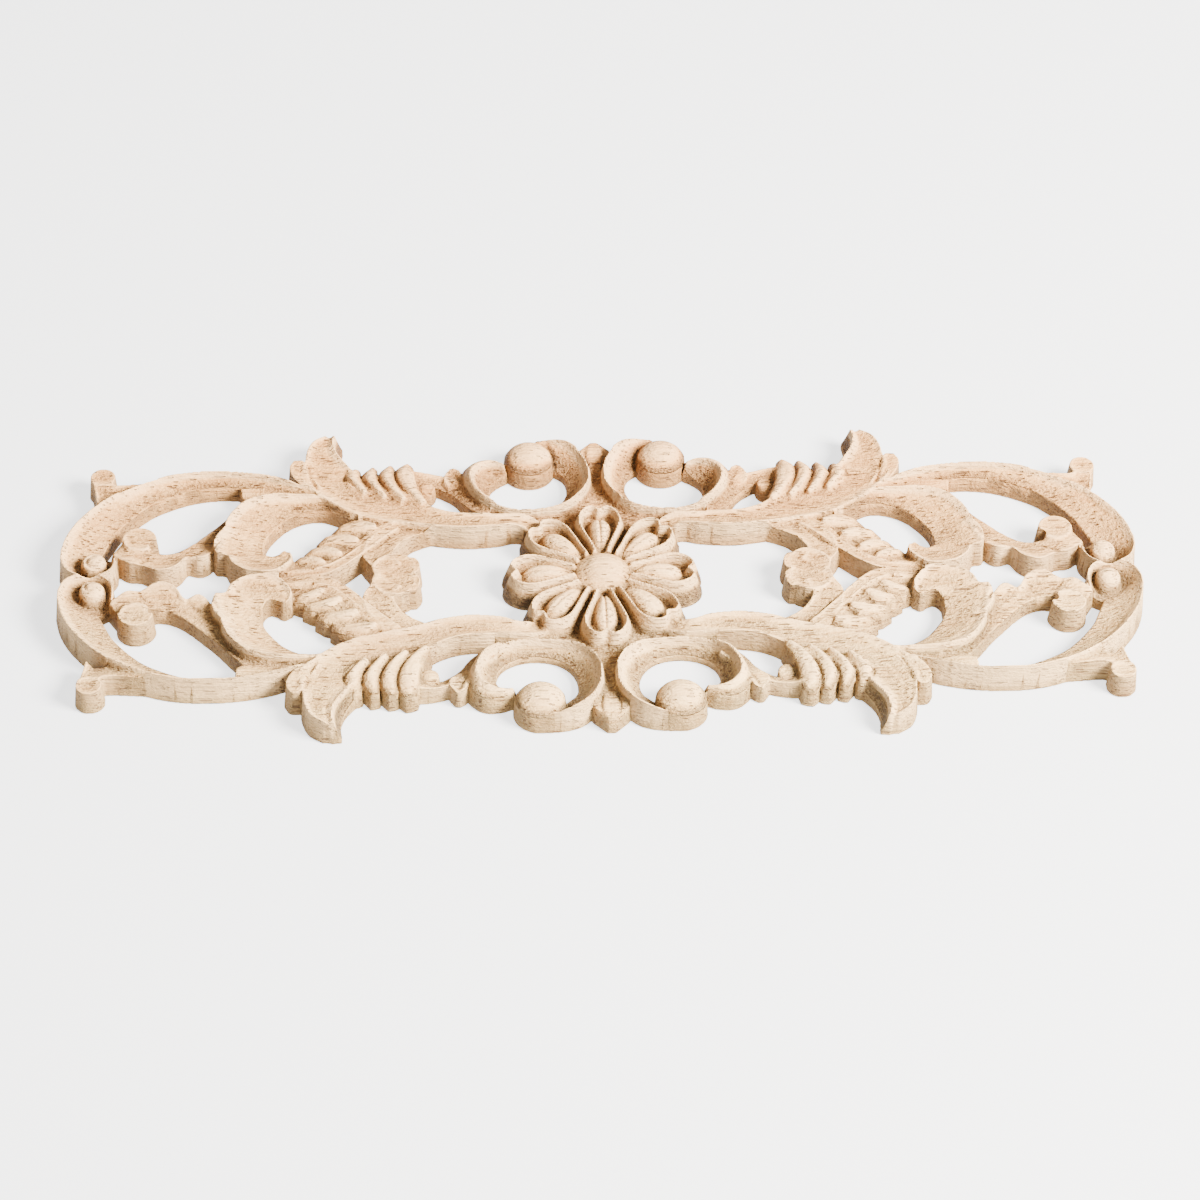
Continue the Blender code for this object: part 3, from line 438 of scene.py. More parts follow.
def ball_scroll(x, y):
    """C-shaped scroll with a hollow inside face, a ball at one end and a bulb at the other."""
    lip = [(28, 71.4, 7.5), (18.5, 71.4, 10.2), (10.5, 68.6, RIM), (5.2, 62.5, RIM), (2.6, 55, RIM),
           (3, 47.5, RIM), (6.5, 41, 12), (12, 36.5, 11.2), (20, 34.4, 10.4), (30, 34, 10.2),
           (38, 36.6, 10.6), (43.6, 41.5, 11.4), (46.6, 47, 12), (47.2, 52.5, 11.8), (45.2, 56.6, 11.2),
           (41.6, 59.0, 10.6), (37.5, 59.6, 10), (34.8, 58.6, 9)]
    hole = [(21, 64, 4), (15.6, 61, 3.4), (12, 57.7, 3), (10.8, 54, 3), (10.8, 49.5, 3), (12.2, 45, 3),
            (15.2, 41.1, 3), (19.6, 38.5, 3), (26, 37.5, 3), (32, 38.4, 3), (36.5, 40.8, 3), (39.4, 44, 3),
            (40.6, 48, 3), (40.2, 51.5, 3.2), (38, 54.5, 3.6), (35.6, 56.6, 4.4), (34.2, 57.6, 5.4),
            (33.6, 58.2, 6.4)]
    shell = [(40, 37, 9), (45, 41, 10), (49.2, 46.5, 7.5), (50.6, 52.5, 7), (49.2, 58, 7), (44.6, 61.8, 7),
             (38.8, 61.8, 7), (34.6, 60.2, 7)]
    crest = [(38, 37, 10.4), (43, 41.5, 11.4), (46.2, 47, 12), (46.8, 52.5, 11.8), (44.8, 56.4, 11.2),
             (41.4, 58.6, 10.6), (37.4, 59.2, 10), (34.6, 58.4, 9)]
    foot = [(12, 30, 4), (20, 29, 4), (30, 28, 4), (40, 28, 4)]
    back = [(8, 39, 4), (18, 36, 4), (30, 35.5, 4), (40, 37, 4)]
    ball = knob(x, y, (25.0, 63.4), (BALL_RADIUS, BALL_RADIUS * 0.96), 1.0, 0.97) / STRETCH[2]
    ball = np.where(ball > 0, 12.6 * STRETCH[2] - BALL_ROUNDING * (1.0 - np.sqrt(np.abs(ball))), 0.0)
    return [blade(lip, hole, SCROLL_HOLLOW * 1.4), blade(crest, shell, -1.1), blade(foot, back), ball]


def bud_and_arc(x, y):
    """Pointed bud, and the thin arc that joins the ball scroll to the first finger."""
    bud = [(48, 46, 7), (50.2, 53, 8), (51.5, 57, 8), (53.8, 58.8, 8)]
    bud_side = [(54, 48, 6), (57, 51.5, 7), (56.8, 55, 7.5), (54.6, 58.6, 8)]
    outer = [(40, 42, 9), (49, 49.5, 8), (53.5, 53, 7.5), (59, 55.3, 7), (64, 56.5, 7.5), (70, 57, 8.5)]
    inner = [(41, 34, 5), (48.5, 39.5, 5), (53, 45.5, 4.5), (57, 49, 4.5), (61.5, 51, 4.5), (68, 47, 5)]
    return [blade(bud, bud_side, 0.8), blade(outer, inner, 0.5),
            knob(x, y, (63.8, 49.3), (3.0, 3.6), 6.5, 0.6, 20)]


def frond(x, y):
    """Toothed frond that runs from the acanthus down to the middle line."""
    vein = [(76, 28, 8.8), (83, 22.5, 9), (88, 17, 9), (93, 11.5, 9.3), (98, 7.2, 9.6), (105, 4.2, 9.6),
            (118, 3.2, 8)]
    teeth = [(84, 33, 7), (92, 27.5, 5.6), (97, 23.0, 5.2), (100.5, 19.0, 5.2), (104.4, 15.0, 5.2),
             (109, 11.2, 5.4), (118, 9.0, 6)]
    second = [(74, 26, 8.6), (81, 19, 9), (86.5, 13.5, 9), (91, 8.5, 9.3), (95.5, 4.5, 9.6),
              (101, 1, 9.6), (118, -2, 8)]
    fold = [(80, 28, 8.8), (86.5, 22, 9), (90.5, 15.5, 9), (95.5, 10, 9.3), (100, 6, 9.6),
            (106, 3.6, 9.6), (118, 3, 8)]
    lobes = [[(83, 26.0), (90, 26.6), (98.6, 23.6)], [(89.5, 18.5), (96.5, 20.2), (104.2, 18.0)],
             [(95.5, 11.5), (102, 14.0), (109.0, 13.0)], [(101.5, 6.6), (107.5, 9.6), (113.0, 9.4)]]
    swell = (0.4, 0.9, 1.05, 1.0, 0.6)
    lift = (8.8, 8.4, 7.8, 7.0, 5.0)
    return [blade(vein, teeth, 0.8), blade(second, fold, 0.9)] + [
        ridge(spine, LOBE_WIDTH * (1.3 - 0.14 * n), swell, lift, 1.3) for n, spine in enumerate(lobes)]


def middle_curl(x, y):
    """Broad curl under the acanthus whose round end meets its mirror image."""
    window = [(60, 26, 7), (70.5, 21, 8), (75.2, 15.8, 8.5), (76.8, 11.5, 9), (75.6, 8, 9.5), (73.5, 6, 9.8)]
    inner = [(78, 30, 8), (85, 21, 9), (87.3, 15, 9), (87.4, 10, 9), (85, 5.6, 9.4), (82, 0, 9.8)]
    horn = [(70.5, -1, 9.8), (67.4, 2, 9.8), (67.2, 5.6, 9.8), (68.8, 8.6, 9.6)]
    horn_side = [(75, 0, 8.2), (73.4, 3, 8.4), (72.0, 5.4, 9.0), (70.4, 8.4, 9.6)]
    return [blade(window, inner, 1.2), blade(horn, horn_side, 0.5),
            knob(x, y, (76.4, 3.6), (DISC_RADIUS, DISC_RADIUS * 0.93), 7.9, -1.9)]


def fleuron(x, y):
    """Narrow leaf on the middle line, rising from behind the top petal."""
    spine = [(0, 26, 3), (0, 48, 5), (0, 58, 5.5), (0, 66, 7.5), (0, 72.6, 7)]
    side = [(16, 28, 3), (3.6, 46, 5), (3.9, 58, 5.5), (6.3, 66.5, 7), (1, 72.6, 7)]
    return [blade(spine, side, -0.3)]


def carve():
    """Height of the quarter relief on a grid, and the same with its walls leaning out."""
    x, y = grid()
    parts = [rosette(x, y)]
    for shape in (end_scroll, corner_curl, hooked_leaf, stem_leaf, acanthus, ball_scroll,
                  bud_and_arc, frond, middle_curl, fleuron):
        parts += shape(x, y)
    tall = np.max(parts, axis=0)
    tall = np.where(tall > LOWEST_CARVING, tall, OUTSIDE)
    slope = CELL / tan(radians(max(WALL_DRAFT_DEG, LEAST_DRAFT_DEG)))
    reach = max(3, int(THICKNESS * 1000 / slope) + 1)
    big = np.pad(tall, ((reach, 0), (reach, 0)), "reflect")
    big = np.pad(big, ((0, reach), (0, reach)), constant_values=OUTSIDE)
    lean = np.full(tall.shape, OUTSIDE)
    for j in range(-reach, reach + 1):
        for i in range(-reach, reach + 1):
            r = (i * i + j * j) ** 0.5
            if r <= reach + 0.5:
                moved = big[reach + j:reach + j + ROWS, reach + i:reach + i + COLUMNS]
                lean = np.maximum(lean, moved - r * slope)
    return tall, lean


def soften(field, weight):
    """Blend each cell with its neighbours, counting only cells that have weight."""
    for _ in ("up and down", "left and right"):
        f = np.pad(field * weight, ((1, 1), (0, 0)), "reflect")
        w = np.pad(weight, ((1, 1), (0, 0)), "reflect")
        total = f[:-2] + 2 * f[1:-1] + f[2:]
        share = w[:-2] + 2 * w[1:-1] + w[2:]
        field = np.where(share > 0, total / np.maximum(share, 1e-9), field).T
        weight = np.minimum(share / 4, 1.0).T
    return field


def sample(field, x, y):
    """Height between the cells."""
    u = np.clip(np.asarray(x) / CELL, 0, COLUMNS - 1.001)
    v = np.clip(np.asarray(y) / CELL, 0, ROWS - 1.001)
    i = u.astype(int)
    j = v.astype(int)
    u = u - i
    v = v - j
    low = field[j, i] * (1 - u) + field[j, i + 1] * u
    top = field[j + 1, i] * (1 - u) + field[j + 1, i + 1] * u
    return low * (1 - v) + top * v


# Sides of a cell that the outline enters and leaves by, for each pattern of corners above zero
SEGMENTS = {1: "03", 2: "10", 3: "13", 4: "21", 5: "0321", 6: "20", 7: "23", 8: "32", 9: "02",
            10: "1032", 11: "12", 12: "31", 13: "01", 14: "30"}


def trace(field):
    """Closed loops where the field passes zero, with the quarter closed along its axes."""
    f = np.pad(field, 1, constant_values=FAR_BELOW)
    up = f > 0
    code = up[:-1, :-1] + 2 * up[:-1, 1:] + 4 * up[1:, 1:] + 8 * up[1:, :-1]
    nexts = {}
    places = {}
    for j, i in zip(*np.nonzero((code > 0) & (code < 15))):
        corner = ((j, i), (j, i + 1), (j + 1, i + 1), (j + 1, i))
        marks = SEGMENTS[int(code[j, i])]
        ends = []
        for m in marks:
            a = corner[int(m)]
            b = corner[(int(m) + 1) % 4]
            key = (min(a, b), max(a, b))
            if key not in places:
                t = f[a] / (f[a] - f[b])
                px = (a[1] + t * (b[1] - a[1]) - 1) * CELL
                py = (a[0] + t * (b[0] - a[0]) - 1) * CELL
                places[key] = (max(0.0, round(px, DIGITS)), max(0.0, round(py, DIGITS)))
            ends.append(key)
        for a, b in zip(ends[::2], ends[1::2]):
            nexts[a] = b
    loops = []
    while nexts:
        start, here = nexts.popitem()
        loop = [places[start]]
        while here != start:
            loop.append(places[here])
            here = nexts.pop(here)
        loops.append(loop)
    return loops


def area(loop):
    """Signed area of a closed loop."""
    p = np.array(loop)
    q = np.roll(p, -1, 0)
    return 0.5 * float((p[:, 0] * q[:, 1] - q[:, 0] * p[:, 1]).sum())


def thin_line(points, tolerance):
    """Keep only the points needed to stay within tolerance of the line."""
    p = np.array(points)
    keep = {0, len(p) - 1}
    jobs = [(0, len(p) - 1)]
    while jobs:
        a, b = jobs.pop()
        if b - a < 2:
            continue
        d = p[b] - p[a]
        q = p[a + 1:b] - p[a]
        size = max(float(np.hypot(*d)), 1e-9)
        off = np.abs(d[0] * q[:, 1] - d[1] * q[:, 0]) / size if size > CLOSEST else np.hypot(*q.T)
        k = int(np.argmax(off))
        if off[k] > tolerance:
            keep.add(a + 1 + k)
            jobs += [(a, a + 1 + k), (a + 1 + k, b)]
    return [points[k] for k in sorted(keep)]


def thin_loop(loop, tolerance):
    """Thin a closed loop, keeping the corners where it meets the middle lines."""
    on_axis = [p[0] == 0.0 or p[1] == 0.0 for p in loop]
    corners = [k for k in range(len(loop))
               if on_axis[k] and not (on_axis[k - 1] and on_axis[(k + 1) % len(loop)])]
    corners += [k for k in range(len(loop)) if loop[k] == (0.0, 0.0)]
    if len(corners) < 2:
        p = np.array(loop)
        first = int(np.argmax(p[:, 0] + p[:, 1]))
        corners = [first, int(np.argmax(np.hypot(*(p - p[first]).T)))]
    corners = sorted(set(corners))
    out = []
    for a, b in zip(corners, corners[1:] + [corners[0] + len(loop)]):
        run = [loop[k % len(loop)] for k in range(a, b + 1)]
        out += thin_line(run, tolerance)[:-1]
    return out


def outlines(field, tolerance, smallest):
    """Closed loops where the field passes zero, thinned, without specks smaller than an area."""
    loops = [thin_loop(loop, tolerance) for loop in trace(field) if abs(area(loop)) > smallest]
    return [loop for loop in loops if len(loop) > 2]


def fill(points, chains, sides):
    """Triangles that honour the chains of points and lie inside the bounding sides."""
    verts, _, faces, _, _, _ = delaunay_2d_cdt([Vector(p) for p in points], chains, [], 0, CLOSEST)
    xy = np.array([(v.x, v.y) for v in verts])
    tri = np.array([f for f in faces if len(f) == 3])
    mid = xy[tri].mean(1)
    a, b, c = xy[tri[:, 0]], xy[tri[:, 1]], xy[tri[:, 2]]
    turn = (b[:, 0] - a[:, 0]) * (c[:, 1] - a[:, 1]) - (b[:, 1] - a[:, 1]) * (c[:, 0] - a[:, 0])
    tri = np.where((turn < 0)[:, None], tri[:, ::-1], tri)
    return xy, tri[within(mid[:, 0], mid[:, 1], sides) & (np.abs(turn) > NO_AREA)]


def chain(points, loops):
    """Append loops to a list of points and return the edges that hold them."""
    edges = []
    for loop in loops:
        base = len(points)
        points += loop
        edges += [(base + k, base + (k + 1) % len(loop)) for k in range(len(loop))]
    return edges


def free_edges(xy, tri):
    """Edges of one triangle, the corners on the outline, and inner edges that join two of those."""
    pairs = np.concatenate([tri[:, [0, 1]], tri[:, [1, 2]], tri[:, [2, 0]]])
    known = {(int(a), int(b)) for a, b in pairs}
    lone = sorted(e for e in known if (e[1], e[0]) not in known)
    on_x = xy[:, 0] < CLOSEST
    on_y = xy[:, 1] < CLOSEST
    real = {e for e in lone if not (on_x[e[0]] and on_x[e[1]]) and not (on_y[e[0]] and on_y[e[1]])}
    corners = {k for e in real for k in e}
    chords = {(min(e), max(e)) for e in known if e[0] in corners and e[1] in corners
              and e not in real and (e[1], e[0]) not in real}
    return lone, sorted(corners), sorted(chords)


def known_height(known, place, relief):
    """Height of a point: the one it was given, or else that of the relief under it."""
    key = (round(float(place[0]), DIGITS), round(float(place[1]), DIGITS))
    if key in known:
        return known[key]
    return float(sample(relief, key[0], key[1]))


def cut(field, x, y, path, width, depth):
    """Shallow flowing groove with soft shoulders, fading out towards its ends."""
    line = [tuple(p) for p in spline(path, 28)]
    xs = [p[0] for p in line]
    ys = [p[1] for p in line]
    rows = slice(max(int((min(ys) - GROOVE_ROOM) / CELL), 0), int((max(ys) + GROOVE_ROOM) / CELL))
    columns = slice(max(int((min(xs) - GROOVE_ROOM) / CELL), 0), int((max(xs) + GROOVE_ROOM) / CELL))
    away, along = nearest(x[rows, columns], y[rows, columns], line)
    ends = np.clip(np.minimum(along, 1.0 - along) / GROOVE_FADE, 0.0, 1.0)
    field[rows, columns] -= depth * np.exp(-(away / width) ** 2) * ends


def between(edge_a, edge_b, width, cuts):
    """Grooves between two edges; each cut is its share of the way across, and its depth."""
    a = np.array(edge_a)
    b = np.array(edge_b)
    return [([tuple(p) for p in a * (1 - share) + b * share], width, depth) for share, depth in cuts]


def acanthus_grooves():
    """Veins of the main leaf, a gap and a vein beside each finger, and the fold of the side lobe."""
    crest = [(30, 30.4), (45, 30.6), (58, 32.6), (68, 39), (79, 45.5), (88, 51), (95, 61), (98.2, 72)]
    keel = [(34, 25.6), (48, 24.8), (62, 26.2), (78, 30), (92, 36), (103, 45), (107.4, 56), (105.4, 70)]
    grooves = between(crest, keel, 0.55, [(0.14, 0.28), (0.34, 0.22), (0.56, 0.25), (0.80, 0.30)])
    for n in range(FINGERS):
        s = n / (FINGERS - 1)
        gap = [(67.5 + 21 * s, 38.5 + 5 * s), (73.8 + 19.5 * s, 47 + 3.5 * s),
               (75.7 + 19 * s, 54 - 2 * s), (74.6 + 19 * s, 60 - 2.4 * s)]
        vein = [(66.5 + 21 * s, 41 + 5.5 * s), (71 + 19 * s, 49 + 3 * s),
                (71.5 + 19.3 * s, 56 - 2.2 * s)]
        grooves += [(gap, 0.45, 1.3), (vein, 0.4, 0.3)]
    grooves.append(([(104, 44), (107, 52), (108.6, 61)], 0.6, 1.3))
    grooves.append(([(107, 47), (110.3, 53), (111.8, 60)], 0.5, 0.5))
    return grooves


def hook_grooves():
    """Veins and folds of the hooked leaf and of the lobed stem beside it."""
    outer = [(100, 41), (114, 41.3), (126, 39), (134, 31), (138.5, 21), (138, 12)]
    inner = [(104, 38.6), (114, 36.4), (121, 30), (125, 23), (126.5, 17), (127, 12)]
    stem_top = [(137, 33), (146, 23), (157, 14), (166, 13.4)]
    stem_low = [(134, 26), (144, 14), (156, 7), (168, 7.6)]
    grooves = between(outer, inner, 0.6, [(0.12, 0.25), (0.38, 0.22), (0.68, 0.2)])
    grooves.append(([(132, 26.5), (136, 25.6), (139.6, 25.2)], 0.55, 1.5))
    grooves.append(([(130, 12.6), (134.5, 11.4), (138.4, 9.6)], 0.6, 1.3))
    grooves += between(stem_top, stem_low, 0.6, [(0.2, 0.22), (0.5, 0.22), (0.78, 0.22)])
    grooves.append(([(145, 17), (149.5, 13.5), (152.6, 9.4)], 0.6, 1.0))
    grooves.append(([(139.5, 19), (141.4, 15.5), (143.0, 11.4)], 0.6, 1.0))
    grooves.append(([(163, 12), (167.4, 9.8), (169.4, 6.4)], 0.6, 0.9))
    return grooves


def frond_grooves():
    """Lines along the frond, the folds between its lobes, and the veins of the middle curl."""
    vein = [(78, 26.5), (84, 21.5), (89, 16), (94, 10.7), (99, 6.6), (106, 3.8), (113, 3)]
    teeth = [(86, 30), (93, 26), (98, 21), (103, 17), (106, 14), (110, 11), (115, 9)]
    grooves = between(vein, teeth, 0.45, [(0.06, 0.9), (0.16, 0.7)])
    for path in ([(85, 22.5), (93, 23.6), (101.8, 21.0)], [(91.5, 15.4), (99, 17.4), (107, 15.6)],
                 [(98, 9.4), (104.5, 11.9), (111.5, 11.3)]):
        grooves.append((path, 0.5, 1.1))
        grooves.append(([(px - 1.2, py + 2.6) for px, py in path], 0.4, 0.3))
    grooves.append(([(75, 25), (81, 18), (86.4, 12.4), (90.6, 7.6), (95, 3.6)], 0.45, 0.8))
    curl_outer = [(70, 22), (76.4, 16), (78.2, 11), (77, 7.6)]
    curl_inner = [(79, 26), (84, 20), (86, 14.5), (86, 10)]
    return grooves + between(curl_outer, curl_inner, 0.6, [(0.25, 0.25), (0.6, 0.25)])


def scroll_grooves():
    """Lines that follow the ball scroll, the bud, the fleuron and the end ribbon with its boss."""
    ring = [(24, 70.5), (17, 70.2), (11, 67.4), (6.6, 61.8), (4.2, 54.8), (4.6, 48), (7.8, 42),
            (13, 37.8), (21, 35.6)]
    ball_shell = [(17.1, 57.9), (15.5, 61.7), (15.7, 65.9), (17.6, 69.6), (20.2, 71.7)]
    ribbon = [(116, 48.4), (130, 51.7), (142, 52.7), (153, 52), (163, 49.4), (173, 44.5), (180, 39),
              (186.6, 31), (190.8, 23.6), (193.6, 15), (193.8, 8.4)]
    swirl = [(BOSS_CENTRE[0] + r * cos(4.0 - 1.6 * r), BOSS_CENTRE[1] + r * sin(4.0 - 1.6 * r))
             for r in (4.2, 3.6, 3.0, 2.4, 1.8, 1.2, 0.6)]
    return [(ring, 0.55, 0.45), (ball_shell, 0.6, 1.2), ([(50, 49), (52.5, 54), (54, 58)], 0.5, 0.8),
            ([(2.7, 52), (2.9, 60), (3.4, 67), (2.4, 72)], 0.5, 1.0), (ribbon, 0.6, 0.35),
            (swirl, 0.5, 1.0)]


def engrave(relief):
    """Veins, folds and tool lines too fine for the solid; each is a path, a width and a depth."""
    x, y = grid()
    carved = relief.copy()
    for path, width, depth in acanthus_grooves() + hook_grooves() + frond_grooves() + scroll_grooves():
        cut(carved, x, y, path, width, depth)
    return carved


def ripples(x, y):
    """Low uneven waves left by the cutter, repeatable and free of any random source."""
    total = np.zeros(x.shape)
    for n in range(1, 10):
        golden_turn = 2.399963 * n
        k = 0.35 + 0.21 * n
        wave = x * k * cos(golden_turn) + y * k * 1.7 * sin(golden_turn)
        total += np.sin(wave + 1.7 * n) / (1.5 + 0.6 * n)
    return total


def dressed_relief(lean, solid):
    """Relief with softened cuts, grooves and the cutter's waves on the carving itself."""
    empty = solid == 0
    relief = np.maximum(lean, 0.0)
    for _ in range(2):
        relief = np.where(empty, relief, soften(relief, solid))
    relief = np.where(empty, relief, engrave(relief))
    return np.where(empty, relief, soften(relief, solid) + RIPPLE_HEIGHT * ripples(*grid()))


def carried_out(field, solid):
    """The field with its values at the edge of the carving carried one cell outwards."""
    empty = solid == 0
    return np.where(empty, soften(np.where(empty, 0.0, field), solid), field)


def hollows(relief, solid):
    """How far each place lies below its wide surroundings: 1 in a deep hollow, -1 on a high crest."""
    broad = relief
    for _ in range(HOLLOW_PASSES):
        broad = soften(broad, solid)
    return carried_out(np.clip((broad - relief) / HOLLOW_DEPTH, -1.0, 1.0), solid)


def surface_cells(relief, lean, solid, mask):
    """Cells that become points: many where the carving bends, few where it's calm."""
    bend = np.abs(soften(relief, solid) - relief)
    wide = bend.copy()
    for j in (-2, -1, 1, 2):
        wide = np.maximum(wide, np.maximum(np.roll(bend, j, 0), np.roll(bend, j, 1)))
    jj, ii = np.indices(relief.shape)
    coarse = (ii % 4 == 0) & (jj % 4 == 0)
    staggered = ((ii + jj) % 4 == 0) & (ii % 2 == 0) & (wide > BEND_SMALL)
    dense = (ii % 2 == 0) & (jj % 2 == 0) & (wide > BEND_LARGE)
    walls = np.maximum(lean, 0.0)
    wall_bend = np.abs(soften(walls, np.ones_like(walls)) - walls)
    sparse = (ii % 3 == 0) & (jj % 3 == 0)
    valley = (solid == 0) & (lean > LOWEST_CARVING) & sparse & (wall_bend > VALLEY_BEND)
    return (mask > CORE_LEVEL) & (coarse | staggered | dense) | valley


def fine_quarter():
    """Dense carved surface of one quarter, its flat back, and how hollow each point lies."""
    tall, lean = carve()
    solid = (tall > 0).astype(float)
    everywhere = np.ones_like(solid)
    relief = dressed_relief(lean, solid)
    hollow = hollows(relief, solid)
    mask = soften(soften(solid, everywhere), everywhere)
    base = outlines(soften(lean, everywhere), OUTLINE_TOLERANCE, SMALLEST_LOOP)
    lips = outlines(mask - LIP_LEVEL, OUTLINE_TOLERANCE, SMALLEST_LOOP)
    shoulders = outlines(mask - SHOULDER_LEVEL, OUTLINE_TOLERANCE, SMALLEST_LOOP)

    points = []
    edges = chain(points, base)
    first_lip = len(points)
    edges += chain(points, lips)
    first_shoulder = len(points)
    edges += chain(points, shoulders)
    at = np.array(points)
    heights = sample(carried_out(relief, solid), at[:, 0], at[:, 1])
    heights[:first_lip] = 0.0
    heights[first_lip:first_shoulder] -= LIP_ROUNDING
    known = {p: float(h) for p, h in zip(points, heights)}
    for j, i in zip(*np.nonzero(surface_cells(relief, lean, solid, mask))):
        p = (round(i * CELL, DIGITS), round(j * CELL, DIGITS))
        if p not in known:
            known[p] = float(relief[j, i])
            points.append(p)

    # An inner edge that joins two outline points would lie on the back, so its middle is raised
    sides = sides_of(base)
    for _ in range(CHORD_ROUNDS):
        xy, tri = fill(points, edges, sides)
        links, outline, chords = free_edges(xy, tri)
        if not chords:
            break
        for a, b in chords:
            place = tuple(round(float(c), DIGITS) for c in (xy[a] + xy[b]) / 2)
            known[place] = max(float(sample(relief, *place)), LOWEST_CHORD)
            points.append(place)
    z = np.array([known_height(known, p, relief) for p in xy])
    z[outline] = 0.0

    shade = sample(hollow, xy[:, 0], xy[:, 1])
    wall = sample(mask, xy[:, 0], xy[:, 1]) < WALL_LEVEL
    shade[wall] = np.minimum(shade[wall], 0.0)
    shade[outline] = 0.0

    rim = sorted({k for link in links for k in link})
    row = {k: n for n, k in enumerate(rim)}
    ring = [(float(xy[k, 0]), float(xy[k, 1])) for k in rim]
    links = [(row[a], row[b]) for a, b in links]
    flat, back = fill(ring, links, [(ring[a], ring[b]) for a, b in links])
    return np.column_stack([xy, z]), tri, np.column_stack([flat, np.zeros(len(flat))]), back, shade


def mirrored(top, top_tri, flat, flat_tri, shade):
    """Vertices in metres, faces and hollow values of the whole onlay from those of one quarter."""
    index = {}
    verts = []
    tone = []
    faces = []
    for sx in (1, -1):
        for sy in (1, -1):
            for cloud, tris, upward in ((top, top_tri, True), (flat, flat_tri, False)):
                ids = {}
                for n in np.unique(tris):
                    p = cloud[n]
                    key = (round(p[0] * sx, 3) + 0.0, round(p[1] * sy, 3) + 0.0, round(p[2], 3))
                    if key not in index:
                        index[key] = len(verts)
                        verts.append([c * 0.001 for c in key])
                        tone.append(float(shade[n]) if upward else 0.0)
                    ids[int(n)] = index[key]
                for t in tris.tolist():
                    face = [ids[k] for k in t]
                    if len(set(face)) == 3:
                        faces.append(face if (sx * sy > 0) == upward else face[::-1])
    return verts, faces, tone


def node(tree, kind, place, **values):
    """New shader node at a place in the editor, with its settings."""
    n = tree.nodes.new(kind)
    n.location = place
    for name, value in values.items():
        setattr(n, name, value)
    return n


def plug(tree, socket, value):
    """Link an output to a socket, or set the socket to a number or a colour."""
    if hasattr(value, "is_linked"):
        tree.links.new(value, socket)
    elif isinstance(value, (int, float)):
        socket.default_value = value
    else:
        socket.default_value = (*value, 1.0)


def ramp(tree, place, source, stops):
    """Colour that goes through the stops as the source rises from 0 to 1."""
    n = node(tree, "ShaderNodeValToRGB", place)
    bar = n.color_ramp
    while len(bar.elements) < len(stops):
        bar.elements.new(0.5)
    for e, (at, colour) in zip(bar.elements, stops):
        e.position = at
        e.color = (*colour, 1.0)
    tree.links.new(source, n.inputs[0])
    return n.outputs[0]


def mixed(tree, place, factor, a, b, blend="MIX"):
    """Colour b laid over colour a by a factor."""
    n = node(tree, "ShaderNodeMix", place, data_type="RGBA", blend_type=blend)
    sockets = {s.identifier: s for s in n.inputs}
    for name, value in (("Factor_Float", factor), ("A_Color", a), ("B_Color", b)):
        plug(tree, sockets[name], value)
    return next(s for s in n.outputs if s.identifier == "Result_Color")


def maths(tree, place, kind, a, b):
    """Sum, product or other operation on two values."""
    n = node(tree, "ShaderNodeMath", place, operation=kind)
    for socket, value in zip(n.inputs, (a, b)):
        plug(tree, socket, value)
    return n.outputs[0]


def stretched(tree, place, coords, scale):
    """Coordinates scaled so that a pattern has this many cells per metre each way."""
    n = node(tree, "ShaderNodeMapping", place)
    n.inputs["Scale"].default_value = scale
    tree.links.new(coords, n.inputs["Vector"])
    return n.outputs[0]


def grain(tree, place, coords, scale, detail=3.0, rough=0.5):
    """Cloudy pattern between 0 and 1, drawn out along the board."""
    n = node(tree, "ShaderNodeTexNoise", (place[0] + 180, place[1]))
    n.inputs["Scale"].default_value = 1.0
    n.inputs["Detail"].default_value = detail
    n.inputs["Roughness"].default_value = rough
    tree.links.new(stretched(tree, place, coords, scale), n.inputs["Vector"])
    return n.outputs[0]


def painted_wall_shade_share(tree):
    """Share of painted shade: high on steep walls, none on the flat."""
    normal = node(tree, "ShaderNodeNewGeometry", (-1700, -900)).outputs["Normal"]
    parts = node(tree, "ShaderNodeSeparateXYZ", (-1500, -900))
    tree.links.new(normal, parts.inputs[0])
    steep = ramp(tree, (-1300, -900), parts.outputs["Z"], [(0.18, WHITE), (0.62, BLACK)])
    return maths(tree, (-1000, -900), "MULTIPLY", steep, WALL_SHADE_SHARE)


def nap_reach(tree, where, hollow):
    """Where the wood is fuzzy: in hollows, more in some patches than in others."""
    patch = grain(tree, (-1700, -1150), where, PATCH_GRID, 2.0, 0.5)
    in_hollow = maths(tree, (-1400, -1150), "MULTIPLY", patch, NAP_IN_HOLLOWS)
    anywhere = maths(tree, (-1400, -1250), "MULTIPLY", patch, NAP_ELSEWHERE)
    fuzzy = maths(tree, (-1250, -350), "MULTIPLY", hollow, in_hollow)
    fuzzy = maths(tree, (-1150, -350), "ADD", fuzzy, anywhere)
    return ramp(tree, (-1050, -350), fuzzy, [(0.15, BLACK), (0.80, WHITE)])


